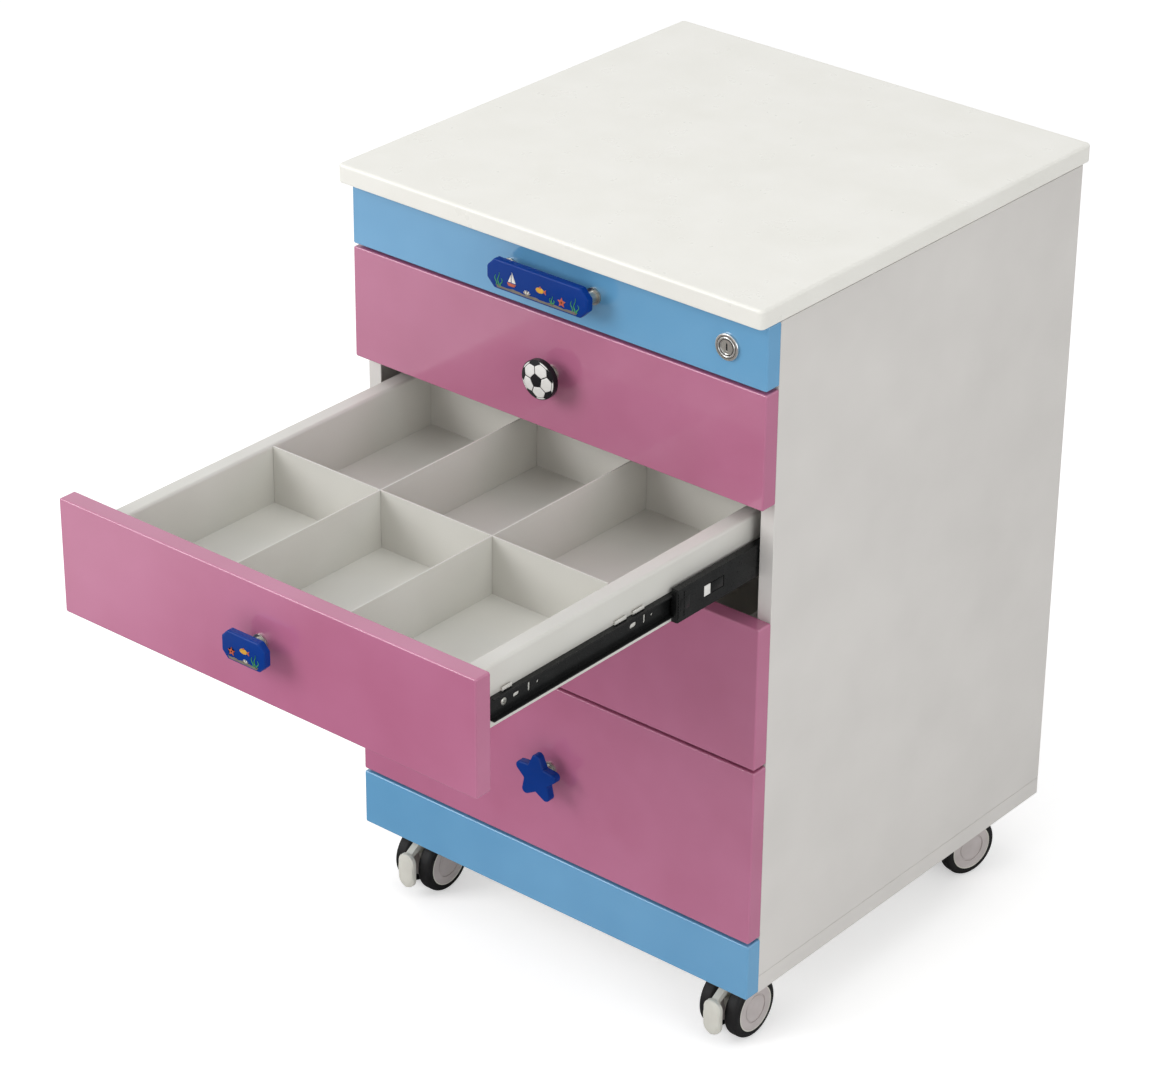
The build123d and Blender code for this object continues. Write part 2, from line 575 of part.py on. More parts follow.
def star_outline():
    """Five arms with round tips; their straight flanks are tangent to the tips and the core."""
    tip_reach = STAR_KNOB_RADIUS - STAR_KNOB_TIP_RADIUS
    lean = (STAR_KNOB_CORE_RADIUS - STAR_KNOB_TIP_RADIUS) / tip_reach
    across = sqrt(1 - lean ** 2)
    near = (STAR_KNOB_CORE_RADIUS * lean, STAR_KNOB_CORE_RADIUS * across)
    far = (tip_reach + STAR_KNOB_TIP_RADIUS * lean, STAR_KNOB_TIP_RADIUS * across)
    corners = ((0, 0), (near[0], -near[1]), (far[0], -far[1]), far, near)
    arm = make_face(Polyline(*corners, close=True)) + Pos(tip_reach, 0) * Circle(STAR_KNOB_TIP_RADIUS)
    star = Circle(STAR_KNOB_CORE_RADIUS)
    for step in range(5):
        star += Rot(0, 0, 90 + step * 72) * arm
    valleys = [v for v in star.vertices()
               if Vector(v.X, v.Y).length < tip_reach - STAR_KNOB_TIP_RADIUS]
    return fillet(valleys, STAR_KNOB_VALLEY_RADIUS)


def flower_outline():
    """Six round petals about a round middle."""
    reach = FLOWER_KNOB_RADIUS - FLOWER_PETAL_RADIUS
    flower = Circle(reach)
    for step in range(6):
        angle = step * pi / 3
        flower += Pos(reach * cos(angle), reach * sin(angle)) * Circle(FLOWER_PETAL_RADIUS)
    return flower


def knob(drawer, outline):
    """A knob cut from a flat outline, with its front rim rounded."""
    x, z = knob_centre(drawer)
    back_y = FRONT_Y - KNOB_REACH + KNOB_THICKNESS
    body = extrude(face_plane(back_y) * Pos(x, z) * outline, KNOB_THICKNESS)
    rim = body.faces().sort_by(Axis.Y)[0].edges()
    body = fillet(rim, KNOB_EDGE_RADIUS)
    return Pos(0, -drawer["open"], 0) * body


def ball_knob(drawer):
    """Round knob whose face bulges into a flat dome."""
    x, z = knob_centre(drawer)
    radius = BALL_KNOB_DIAMETER / 2
    rim = KNOB_THICKNESS - BALL_KNOB_DOME
    curve = (radius ** 2 + BALL_KNOB_DOME ** 2) / (2 * BALL_KNOB_DOME)
    half_way = radius / 2
    sag = KNOB_THICKNESS - curve + sqrt(curve ** 2 - half_way ** 2)
    profile = Polyline((0, KNOB_THICKNESS), (0, 0), (radius, 0), (radius, rim))
    profile += ThreePointArc((radius, rim), (half_way, sag), (0, KNOB_THICKNESS))
    section = Plane.XZ * make_face(profile)
    body = revolve(section, Axis.Z)
    back_y = FRONT_Y - KNOB_REACH + KNOB_THICKNESS
    return Pos(x, back_y - drawer["open"], z) * Rot(90, 0, 0) * body


def knob_stems(drawer):
    """Stems from the front's face to the knob, each with its foot and the screw from inside."""
    back_y = FRONT_Y - KNOB_REACH + KNOB_THICKNESS
    head_y = FRONT_Y + SHEET
    stems = []
    for x, z in stem_points(drawer):
        stem = rod_y(STEM_DIAMETER / 2, FRONT_Y, back_y, x, z)
        stem += rod_y(STEM_FOOT_DIAMETER / 2, FRONT_Y, FRONT_Y - STEM_FOOT_THICKNESS, x, z)
        stem += rod_y(STEM_SCREW_DIAMETER / 2, FRONT_Y, head_y, x, z)
        stem += rod_y(STEM_SCREW_HEAD_DIAMETER / 2, head_y, head_y + STEM_SCREW_HEAD_HEIGHT, x, z)
        stems.append(Pos(0, -drawer["open"], 0) * stem)
    return stems


# ---- cam lock ------------------------------------------------------------------------------------
LOCK_X = SIDE_X - LOCK_FROM_SIDE
LOCK_Z = WORKTOP_Z - LOCK_BELOW_WORKTOP


def lock_housing():
    """Ring in front of the face, barrel through it, and the thin nut behind the face."""
    end_y = FRONT_Y + LOCK_BARREL_LENGTH
    ring = rod_y(LOCK_RING_DIAMETER / 2, FRONT_Y - LOCK_RING_THICKNESS, FRONT_Y, LOCK_X, LOCK_Z)
    rim = ring.faces().sort_by(Axis.Y)[0].edges()
    housing = fillet(rim, LOCK_RING_THICKNESS / 3)
    housing += rod_y(LOCK_BARREL_DIAMETER / 2, FRONT_Y, end_y, LOCK_X, LOCK_Z)
    nut_y = FRONT_Y + SHEET
    housing += rod_y(LOCK_RING_DIAMETER / 2, nut_y, nut_y + LOCK_RING_THICKNESS, LOCK_X, LOCK_Z)
    bore = LOCK_PLUG_DIAMETER / 2 + LOCK_FIT
    return housing - rod_y(bore, FRONT_Y - LOCK_RING_THICKNESS - 1, end_y + 1, LOCK_X, LOCK_Z)


def lock_plug():
    """Turning plug with its key slot."""
    face_y = FRONT_Y - LOCK_RING_THICKNESS + LOCK_PLUG_RECESS
    end_y = FRONT_Y + LOCK_BARREL_LENGTH + CAM_GAP
    plug = rod_y(LOCK_PLUG_DIAMETER / 2, face_y, end_y, LOCK_X, LOCK_Z)
    half_slot = KEY_SLOT_WIDTH / 2
    tall = KEY_SLOT_HEIGHT / 2
    return plug - block(LOCK_X - half_slot, LOCK_X + half_slot, face_y, face_y + KEY_SLOT_DEPTH,
                        LOCK_Z - tall, LOCK_Z + tall)


def lock_cam():
    """Cam behind the barrel; it points sideways while the drawer is free."""
    y0 = FRONT_Y + LOCK_BARREL_LENGTH + CAM_GAP
    y1 = y0 + CAM_THICKNESS
    half = CAM_WIDTH / 2
    cam = rod_y(half, y0, y1, LOCK_X, LOCK_Z)
    return cam + block(LOCK_X, LOCK_X + CAM_LENGTH, y0, y1, LOCK_Z - half, LOCK_Z + half)


# ---- castors -------------------------------------------------------------------------------------
def turned(castor, shape):
    """The shape turned about the castor's swivel axis into its resting place."""
    x, y = castor["x"], castor["y"]
    return Pos(x, y) * Rot(0, 0, castor["turn"]) * Pos(-x, -y) * shape


def castor_plates():
    """Square plates under the floor tray, bored for the kingpin and four bolts."""
    z1 = BODY_BOTTOM_Z
    z0 = z1 - PLATE_THICKNESS
    plates = []
    for castor in CASTORS:
        half = PLATE_SIZE / 2
        plate = block(castor["x"] - half, castor["x"] + half, castor["y"] - half,
                      castor["y"] + half, z0, z1)
        plate = fillet(plate.edges().filter_by(Axis.Z), PLATE_THICKNESS * 2)
        bore = KINGPIN_DIAMETER / 2 + RUNNING_FIT
        plate -= rod_z(bore, z0 - 1, z1 + 1, castor["x"], castor["y"])
        for x, y in castor_bolt_points(castor):
            plate -= rod_z(BOLT_DIAMETER / 2 + BOLT_CLEARANCE, z0 - 1, z1 + 1, x, y)
        plates.append(plate)
    return plates


def castor_bolts():
    """Bolts with hexagon heads under the plates and nuts on the tray."""
    z_plate = BODY_BOTTOM_Z - PLATE_THICKNESS
    z_tray = BODY_BOTTOM_Z + SHEET
    bolts = []
    for castor in CASTORS:
        for x, y in castor_bolt_points(castor):
            head = Pos(x, y, z_plate - BOLT_HEAD_HEIGHT) * RegularPolygon(BOLT_HEAD_WIDTH / 2, 6,
                                                                        major_radius=False)
            nut = Pos(x, y, z_tray) * RegularPolygon(BOLT_HEAD_WIDTH / 2, 6, major_radius=False)
            bolt = extrude(head, BOLT_HEAD_HEIGHT) + extrude(nut, NUT_HEIGHT)
            bolt += rod_z(BOLT_DIAMETER / 2, z_plate, z_tray + NUT_HEIGHT, x, y)
            bolts.append(bolt)
    return bolts


def castor_frame(castor):
    """Swivel race, kingpin, the hood between the wheels and the axle through it."""
    x, y = castor["x"], castor["y"]
    race_top = BODY_BOTTOM_Z - PLATE_THICKNESS - SWIVEL_GAP
    race_bottom = race_top - RACE_HEIGHT
    axle_y = y - CASTOR_TRAIL
    hood = (Pos(axle_y, WHEEL_RADIUS) * Circle(HOOD_AXLE_RADIUS)).edges()
    ear = (Pos(y - PEDAL_HINGE_FORWARD, PEDAL_HINGE_HEIGHT) * Circle(PEDAL_EAR_RADIUS)).edges()
    crown = (Pos(y, race_bottom) * Rectangle(RACE_DIAMETER * 0.8, 1)).edges()
    outline = make_hull(hood + ear + crown) if castor["brake"] else make_hull(hood + crown)
    side = Plane(origin=(x - HOOD_WIDTH / 2, 0, 0), x_dir=(0, 1, 0), z_dir=(1, 0, 0))
    frame = extrude(side * outline, HOOD_WIDTH)
    frame += rod_z(RACE_DIAMETER / 2, race_bottom, race_top, x, y)
    frame += rod_z(KINGPIN_DIAMETER / 2, race_top, BODY_BOTTOM_Z - SWIVEL_GAP, x, y)
    if castor["brake"]:
        frame = with_pedal_hinge(frame, castor)
    reach = HUB_HALF + WHEEL_WIDTH - AXLE_END_WALL
    frame += rod_x(AXLE_DIAMETER / 2, x - reach, x + reach, axle_y, WHEEL_RADIUS)
    return turned(castor, frame)


def with_pedal_hinge(frame, castor):
    """Cuts the slot for the pedal's arm into the hood and puts the hinge pin across it."""
    x, y = castor["x"], castor["y"]
    hinge_y = y - PEDAL_HINGE_FORWARD
    half = HOOD_WIDTH / 2 - PEDAL_CHEEK
    slot_back = hinge_y + PEDAL_EAR_RADIUS + PEDAL_EAR_GAP
    slot_bottom = PEDAL_HINGE_HEIGHT - PEDAL_LENGTH / 2
    race_top = BODY_BOTTOM_Z - PLATE_THICKNESS - SWIVEL_GAP
    frame -= block(x - half, x + half, hinge_y - 2 * PEDAL_LENGTH, slot_back,
                   slot_bottom, race_top - RACE_HEIGHT)
    return frame + rod_x(PEDAL_PIN_DIAMETER / 2, x - HOOD_WIDTH / 2, x + HOOD_WIDTH / 2,
                         hinge_y, PEDAL_HINGE_HEIGHT)


def castor_pedal(castor):
    """Brake pedal: an oval pad before the wheels on an arm that hinges in the hood."""
    x, y = castor["x"], castor["y"]
    hinge_y = y - PEDAL_HINGE_FORWARD
    pad_back = y - CASTOR_TRAIL - WHEEL_RADIUS - PEDAL_WHEEL_GAP
    pad_front = pad_back - PEDAL_THICKNESS
    oval = RectangleRounded(PEDAL_WIDTH, PEDAL_LENGTH, PEDAL_WIDTH / 2 - 0.1)
    pad = extrude(face_plane(pad_back) * Pos(x, PEDAL_CENTRE_HEIGHT) * oval, PEDAL_THICKNESS)
    pad = fillet(pad.faces().sort_by(Axis.Y)[0].edges(), PEDAL_THICKNESS / 3)
    half = HOOD_WIDTH / 2 - PEDAL_CHEEK - PEDAL_EAR_GAP
    ear = PEDAL_EAR_RADIUS - PEDAL_EAR_GAP
    arm_z = PEDAL_CENTRE_HEIGHT + PEDAL_LENGTH / 2 - PEDAL_EAR_RADIUS
    eye = (Pos(hinge_y, PEDAL_HINGE_HEIGHT) * Circle(ear)).edges()
    root = (Pos((pad_back + pad_front) / 2, arm_z) * Circle(PEDAL_THICKNESS / 2 - 0.1)).edges()
    side = Plane(origin=(x - half, 0, 0), x_dir=(0, 1, 0), z_dir=(1, 0, 0))
    arm = extrude(side * make_hull(eye + root), 2 * half)
    bore = PEDAL_PIN_DIAMETER / 2 + RUNNING_FIT
    arm -= rod_x(bore, x - HOOD_WIDTH, x + HOOD_WIDTH, hinge_y, PEDAL_HINGE_HEIGHT)
    return pad + arm


def castor_tyres(castor):
    """Two tyres, one each side of the hood."""
    x, y = castor["x"], castor["y"] - CASTOR_TRAIL
    tyres = []
    for side in (-1, 1):
        x0 = x + side * HUB_HALF
        x1 = x0 + side * WHEEL_WIDTH
        tyre = rod_x(WHEEL_RADIUS, x0, x1, y, WHEEL_RADIUS)
        shoulders = tyre.edges().filter_by(GeomType.CIRCLE)
        tyre = fillet(shoulders, WHEEL_SHOULDER)
        tyre -= rod_x(HUB_DIAMETER / 2, x0 - side, x1 + side, y, WHEEL_RADIUS)
        tyres.append(turned(castor, tyre))
    return tyres


def castor_hubs(castor):
    """Two hubs that fill the tyres; each outer face has a shallow round dish."""
    x, y = castor["x"], castor["y"] - CASTOR_TRAIL
    hubs = []
    for side in (-1, 1):
        x0 = x + side * HUB_HALF
        x1 = x0 + side * WHEEL_WIDTH
        hub = rod_x(HUB_DIAMETER / 2, x0, x1, y, WHEEL_RADIUS)
        hub -= rod_x(HUB_DISH_DIAMETER / 2, x1 - side * HUB_DISH, x1 + side, y, WHEEL_RADIUS)
        bore_end = x1 - side * (AXLE_END_WALL - RUNNING_FIT)
        hub -= rod_x(AXLE_DIAMETER / 2 + RUNNING_FIT, x0 - side, bore_end, y, WHEEL_RADIUS)
        hubs.append(turned(castor, hub))
    return hubs


# ---- the whole cabinet ------------------------------------------------------------------------------
def build_carcass():
    right = side_panel()
    save("side_panel_right", right)
    save("side_panel_left", mirror(right, about=Plane.YZ))
    save("back_panel", back_panel())
    save("top_panel", top_panel())
    save("bottom_panel", bottom_panel())
    save("runner_posts", runner_posts())
    save("worktop_underlay", worktop_underlay())
    save("worktop", worktop())
    save("plinth_front", plinth())
    outers = []
    for drawer in DRAWERS:
        outers += both_sides(outer_member(drawer["runner_z"]))
    save("runner_outer_members", outers)


def build_drawers():
    outlines = {"top_drawer": handle_outline, "drawer_2": plate_outline,
                "drawer_3": flower_outline, "drawer_4": star_outline}
    for drawer in DRAWERS:
        name = drawer["name"]
        save(f"{name}_front", drawer_front(drawer))
        save(f"{name}_box", drawer_box(drawer))
        save(f"{name}_runner_inner", both_sides(inner_member(drawer["runner_z"], drawer["open"])))
        save(f"{name}_runner_middle",
             both_sides(middle_member(drawer["runner_z"], drawer["open"] / 2)))
        shape = ball_knob(drawer) if name == "drawer_1" else knob(drawer, outlines[name]())
        save(f"{name}_handle" if name == "top_drawer" else f"{name}_knob", shape)
        save(f"{name}_stems" if name == "top_drawer" else f"{name}_stem", knob_stems(drawer))
        if drawer["open"]:
            save(f"{name}_dividers", dividers(drawer))


def build_lock():
    save("lock_housing", lock_housing())
    save("lock_plug", lock_plug())
    save("lock_cam", lock_cam())


def build_castors():
    save("castor_plates", castor_plates())
    save("castor_bolts", castor_bolts())
    for castor in CASTORS:
        name = castor["name"]
        save(f"{name}_frame", castor_frame(castor))
        save(f"{name}_tyres", castor_tyres(castor))
        save(f"{name}_hubs", castor_hubs(castor))
        if castor["brake"]:
            save(f"{name}_pedal", castor_pedal(castor))


os.makedirs("parts", exist_ok=True)
build_carcass()
build_drawers()
build_lock()
build_castors()
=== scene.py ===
# %% [markdown]
# # A mobile dental cabinet
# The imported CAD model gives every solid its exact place. This script gives it its looks: a camera, coats
# and castings made of nodes, the small pieces that CAD leaves plain, and soft studio light.
# Lengths are metres; `MM` turns millimetres into them.

# %% Tools and the CAD frame
import bpy
import bmesh
import json
from math import atan2, cos, hypot, pi, radians, sin, sqrt
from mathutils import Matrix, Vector


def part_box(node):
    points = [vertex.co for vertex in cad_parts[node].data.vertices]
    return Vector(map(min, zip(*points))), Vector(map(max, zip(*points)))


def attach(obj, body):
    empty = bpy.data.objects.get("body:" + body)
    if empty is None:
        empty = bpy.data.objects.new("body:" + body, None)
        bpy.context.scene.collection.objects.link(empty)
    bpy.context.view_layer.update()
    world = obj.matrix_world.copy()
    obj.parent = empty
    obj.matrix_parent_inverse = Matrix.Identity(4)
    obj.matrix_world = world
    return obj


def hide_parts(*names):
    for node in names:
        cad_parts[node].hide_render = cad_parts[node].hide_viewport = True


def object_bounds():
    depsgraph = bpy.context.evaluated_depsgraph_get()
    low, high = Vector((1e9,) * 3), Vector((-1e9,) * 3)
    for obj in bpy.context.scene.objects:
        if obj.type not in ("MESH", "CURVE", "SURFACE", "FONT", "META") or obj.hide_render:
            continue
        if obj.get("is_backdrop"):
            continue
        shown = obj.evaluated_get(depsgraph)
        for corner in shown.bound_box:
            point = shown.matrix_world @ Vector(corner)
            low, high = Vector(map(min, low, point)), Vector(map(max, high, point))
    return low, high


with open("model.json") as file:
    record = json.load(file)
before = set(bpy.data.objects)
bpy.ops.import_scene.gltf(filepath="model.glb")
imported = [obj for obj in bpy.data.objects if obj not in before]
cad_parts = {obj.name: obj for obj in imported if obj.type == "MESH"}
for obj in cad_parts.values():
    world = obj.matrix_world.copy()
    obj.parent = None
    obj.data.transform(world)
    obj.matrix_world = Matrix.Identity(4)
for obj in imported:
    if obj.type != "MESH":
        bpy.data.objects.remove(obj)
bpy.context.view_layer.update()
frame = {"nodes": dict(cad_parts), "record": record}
MM = 0.001

# %% [markdown]
# ## Camera
# The photo was taken from above and to the right with a long lens. Its place and turn were solved from the
# cabinet's straight edges, and the two shifts move the optical axis to where those edges say it lies.

# %% Camera at the photo's viewpoint
CAMERA_PLACE = (1.98644, -2.37826, 2.11427)
CAMERA_TURN = (62.3618, -1.5371, 38.0382)    # degrees about X, Y and Z
LENS_LENGTH = 118.36                         # millimetres, behind a 36 mm wide frame
FRAME_WIDTH = 36.0
LENS_SHIFT = (-0.1384, -0.0268)              # shares of the frame's width

camera_data = bpy.data.cameras.new("photo_camera")
camera = bpy.data.objects.new("photo_camera", camera_data)
bpy.context.scene.collection.objects.link(camera)
camera.location = CAMERA_PLACE
camera.rotation_euler = [radians(angle) for angle in CAMERA_TURN]
camera_data.lens = LENS_LENGTH
camera_data.sensor_width = FRAME_WIDTH
camera_data.sensor_fit = "HORIZONTAL"
camera_data.shift_x, camera_data.shift_y = LENS_SHIFT
camera_data.clip_end = 50.0
bpy.context.scene.camera = camera
print("camera at", tuple(round(v, 3) for v in camera.location))

# %% [markdown]
# ## Node helpers
# A material here is a short list of nodes. `grain` gives noise of a stated size in millimetres, on the
# object's own coordinates, so a speck keeps its size on every piece.

# %% Colours and small node helpers
def linear(code):
    """A hex sRGB colour as the linear RGBA that shaders take."""
    channels = [int(code[i:i + 2], 16) / 255 for i in (1, 3, 5)]
    return [c / 12.92 if c <= 0.04045 else ((c + 0.055) / 1.055) ** 2.4 for c in channels] + [1.0]


def new_material(name):
    """A new material, its nodes and links, and its main shader."""
    material = bpy.data.materials.new(name)
    material.use_nodes = True
    nodes = material.node_tree.nodes
    return material, nodes, material.node_tree.links, nodes["Principled BSDF"]


def grain(nodes, links, size_mm, detail=3.0, stretch=(1, 1, 1)):
    """Noise whose lumps are about size_mm wide; stretch shortens them along an axis."""
    place = nodes.new("ShaderNodeTexCoord")
    mapping = nodes.new("ShaderNodeMapping")
    noise = nodes.new("ShaderNodeTexNoise")
    mapping.inputs["Scale"].default_value = stretch
    noise.inputs["Scale"].default_value = 1 / (size_mm * MM)
    noise.inputs["Detail"].default_value = detail
    links.new(place.outputs["Object"], mapping.inputs["Vector"])
    links.new(mapping.outputs["Vector"], noise.inputs["Vector"])
    return noise.outputs["Fac"]


def spread(nodes, links, value, low, high, start=0.3, stop=0.7):
    """Maps a noise value to low..high."""
    node = nodes.new("ShaderNodeMapRange")
    node.inputs["From Min"].default_value = start
    node.inputs["From Max"].default_value = stop
    node.inputs["To Min"].default_value = low
    node.inputs["To Max"].default_value = high
    links.new(value, node.inputs["Value"])
    return node.outputs["Result"]


def two_tone(nodes, links, value, first, second):
    """Blends two colours, each a hex code or a socket, by a value from 0 to 1."""
    mix = nodes.new("ShaderNodeMix")
    mix.data_type = "RGBA"
    for name, colour in (("A", first), ("B", second)):
        if isinstance(colour, str):
            mix.inputs[name].default_value = linear(colour)
        else:
            links.new(colour, mix.inputs[name])
    links.new(value, mix.inputs["Factor"])
    return mix.outputs["Result"]


def bumped(nodes, links, shader, height, depth_mm, edge_mm=0.0):
    """Fine relief of depth_mm; edge_mm softens sharp edges in the shading."""
    bump = nodes.new("ShaderNodeBump")
    bump.inputs["Strength"].default_value = 1.0
    bump.inputs["Distance"].default_value = depth_mm * MM
    links.new(height, bump.inputs["Height"])
    if edge_mm:
        bevel = nodes.new("ShaderNodeBevel")
        bevel.samples = 4
        bevel.inputs["Radius"].default_value = edge_mm * MM
        links.new(bevel.outputs["Normal"], bump.inputs["Normal"])
    links.new(bump.outputs["Normal"], shader.inputs["Normal"])


# %% [markdown]
# ## Materials
# Painted steel has a faint orange peel and cloudy gloss. Cast mineral is a white ground with fine grains.
# Metals and plastics differ in roughness, grain size and how dust dulls them.

# %% Painted steel
CLOUD_SIZE = 90     # millimetres, as all sizes of noise here
SCUFF_SIZE = 14
COAT_ROUGHNESS = 0.06


def painted_steel(name, colour, shade, rough, peel_mm, peel_depth_mm, coat=0.0):
    """Powder coat or gloss coat with cloudy colour, scuffs and orange peel."""
    material, nodes, links, shader = new_material(name)
    clouds = grain(nodes, links, CLOUD_SIZE, 2.0)
    shader.inputs["Specular IOR Level"].default_value = 0.5
    shader.inputs["Coat Weight"].default_value = coat
    shader.inputs["Coat Roughness"].default_value = COAT_ROUGHNESS
    links.new(two_tone(nodes, links, spread(nodes, links, clouds, 0, 1), colour, shade),
              shader.inputs["Base Color"])
    scuffs = grain(nodes, links, SCUFF_SIZE, 6.0, (1, 1, 3))
    links.new(spread(nodes, links, scuffs, rough * 0.85, rough * 1.25), shader.inputs["Roughness"])
    bumped(nodes, links, shader, grain(nodes, links, peel_mm, 2.0), peel_depth_mm, edge_mm=0.5)
    return material


steel_light = painted_steel("powder_coat_light_grey", "#dedbd7", "#d8d5d1",
                            rough=0.38, peel_mm=1.1, peel_depth_mm=0.012)
steel_inside = painted_steel("powder_coat_drawer_grey", "#dbdad4", "#d4d3cc",
                             rough=0.36, peel_mm=1.1, peel_depth_mm=0.012)
steel_pink = painted_steel("gloss_coat_pink", "#bf7395", "#b86b8c",
                           rough=0.16, peel_mm=3.0, peel_depth_mm=0.006, coat=0.6)
steel_blue = painted_steel("gloss_coat_blue", "#6ba8d2", "#63a0cb",
                           rough=0.16, peel_mm=3.0, peel_depth_mm=0.006, coat=0.6)
print("painted steel:", [m.name for m in (steel_light, steel_inside, steel_pink, steel_blue)])

# %% Cast mineral worktop
GRAIN_SIZE = 0.9    # millimetres, as the other sizes here
GROUND_CLOUDS = 60
WIPE_MARKS = 25
POLISH_WAVES = 1.6


def cast_mineral(name):
    """A white ground with fine darker grains and wipe marks in its gloss."""
    material, nodes, links, shader = new_material(name)
    clouds = spread(nodes, links, grain(nodes, links, GROUND_CLOUDS, 2.0), 0, 1)
    ground = two_tone(nodes, links, clouds, "#f0efe9", "#ecebe4")
    cells = nodes.new("ShaderNodeTexVoronoi")
    place = nodes.new("ShaderNodeTexCoord")
    cells.inputs["Scale"].default_value = 1 / (GRAIN_SIZE * MM)
    links.new(place.outputs["Object"], cells.inputs["Vector"])
    in_grain = spread(nodes, links, cells.outputs["Distance"], 0.5, 0.0, 0.05, 0.3)
    links.new(two_tone(nodes, links, in_grain, ground, "#e2dfd2"), shader.inputs["Base Color"])
    wiped = grain(nodes, links, WIPE_MARKS, 4.0)
    links.new(spread(nodes, links, wiped, 0.26, 0.4), shader.inputs["Roughness"])
    bumped(nodes, links, shader, grain(nodes, links, POLISH_WAVES, 2.0), 0.006)
    return material


mineral = cast_mineral("cast_mineral_white")
print("worktop:", mineral.name)

# %% Bare and plated metals
def metal(name, colour, shade, rough, streak_mm):
    """Metal with fine streaks along Y."""
    material, nodes, links, shader = new_material(name)
    shader.inputs["Metallic"].default_value = 1.0
    streaks = grain(nodes, links, streak_mm, 3.0, (1, 0.15, 1))
    links.new(two_tone(nodes, links, spread(nodes, links, streaks, 0, 1), colour, shade),
              shader.inputs["Base Color"])
    links.new(spread(nodes, links, streaks, rough * 0.8, rough * 1.3), shader.inputs["Roughness"])
    bumped(nodes, links, shader, streaks, 0.004, edge_mm=0.3)
    return material


zinc = metal("zinc_plated_steel", "#c9c9c4", "#b4b3aa", rough=0.34, streak_mm=3.0)
chrome = metal("polished_chrome", "#e2e2e0", "#d3d3d0", rough=0.16, streak_mm=2.0)
print("metals:", zinc.name, chrome.name)

# %% Plastics, rubber and black runner coat
def plastic(name, colour, shade, rough, lump_mm, depth_mm, shine=0.5):
    """Moulded or rubbery surface: lumps of a stated size and depth, and clouds twelve times as wide."""
    material, nodes, links, shader = new_material(name)
    shader.inputs["Specular IOR Level"].default_value = shine
    lumps = grain(nodes, links, lump_mm, 4.0)
    clouds = spread(nodes, links, grain(nodes, links, lump_mm * 12, 2.0), 0, 1)
    links.new(two_tone(nodes, links, clouds, colour, shade), shader.inputs["Base Color"])
    links.new(spread(nodes, links, lumps, rough * 0.85, rough * 1.2), shader.inputs["Roughness"])
    bumped(nodes, links, shader, lumps, depth_mm, edge_mm=0.4)
    return material


runner_black = plastic("black_runner_coat", "#111212", "#191a1a",
                       rough=0.3, lump_mm=1.5, depth_mm=0.006, shine=0.22)
tyre_black = plastic("black_tread_rubber", "#141314", "#1c1b1c",
                     rough=0.55, lump_mm=0.8, depth_mm=0.02, shine=0.25)
nylon_light = plastic("light_moulded_nylon", "#dddcd2", "#d5d3c9", rough=0.42, lump_mm=1.2, depth_mm=0.01)
nylon_grey = plastic("grey_moulded_nylon", "#c9c1c0", "#bfb7b5", rough=0.36, lump_mm=1.2, depth_mm=0.008)
resin_blue = plastic("royal_blue_resin", "#08398c", "#07327e",
                     rough=0.22, lump_mm=6.0, depth_mm=0.003, shine=0.12)
resin_white = plastic("white_moulded_resin", "#ecebe8", "#e2e1dd", rough=0.3, lump_mm=2.0, depth_mm=0.008)
resin_black = plastic("black_moulded_resin", "#141417", "#1b1b1f",
                      rough=0.32, lump_mm=2.0, depth_mm=0.008, shine=0.2)
# The underlay board's near-black colour is painted shade for the gap between the worktop and the body.
board_dark = plastic("underlay_board_painted_shade", "#26242a", "#1d1c21", rough=0.7, lump_mm=2.0, depth_mm=0.02)
print("plastics and rubber:", runner_black.name, tyre_black.name, nylon_light.name, resin_blue.name)

# %% [markdown]
# ## Finishes on the CAD pieces
# Each CAD node takes the finish of its slot in the record. The drawer boxes and dividers are a slightly
# warmer grey than the body.

# %% Materials on the CAD nodes
FINISH = {"steel_body": steel_light, "steel_blue": steel_blue, "steel_pink": steel_pink,
          "steel_dark": runner_black, "zinc": zinc, "mineral_white": mineral, "board_dark": board_dark,
          "resin_blue": resin_blue, "resin_white": resin_white, "chrome_lock": chrome,
          "tyre_black": tyre_black, "nylon_grey": nylon_grey, "nylon_light": nylon_light}
slot_of = {s["node"]: s["material_slot"] for s in frame["record"]["subparts"]}
for name, node in frame["nodes"].items():
    finish = FINISH[slot_of[name]]
    if name.endswith(("_box", "_dividers")):
        finish = steel_inside
    node.data.materials.clear()
    node.data.materials.append(finish)
print("finished nodes:", len(slot_of))

# %% [markdown]
# ## Mesh tools
# Outlines are lists of (x, z) points in millimetres, counted against the clock as seen from the front.
# `loft` closes a solid through rings of points; `put` makes it a piece that rides on a body.

# %% Outlines and lofts
SMOOTH_UNDER = 32    # degrees; sharper folds stay sharp in the shading
RELIEF_LIP = 0.18    # millimetres


def put(name, build, body, slot, *materials):
    """Turns a bmesh into a named piece that rides on a body."""
    bmesh.ops.recalc_face_normals(build, faces=build.faces[:])
    mesh = bpy.data.meshes.new(name)
    build.to_mesh(mesh)
    build.free()
    return finish_piece(name, mesh, body, materials)


def finish_piece(name, mesh, body, materials):
    """Makes a mesh a piece that rides on a body and its materials."""
    mesh.shade_smooth()
    mesh.set_sharp_from_angle(angle=radians(SMOOTH_UNDER))
    for material in materials:
        mesh.materials.append(material)
    piece = bpy.data.objects.new(name, mesh)
    bpy.context.scene.collection.objects.link(piece)
    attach(piece, body)
    return piece


def loft(build, rings, index=0):
    """A closed solid through rings of points, with a cap at each end."""
    loops = [[build.verts.new(point) for point in ring] for ring in rings]
    for near, far in zip(loops, loops[1:]):
        for i in range(len(near)):
            j = (i + 1) % len(near)
            build.faces.new((near[i], near[j], far[j], far[i])).material_index = index
    for cap in (loops[0], loops[-1]):
        build.faces.new(cap).material_index = index


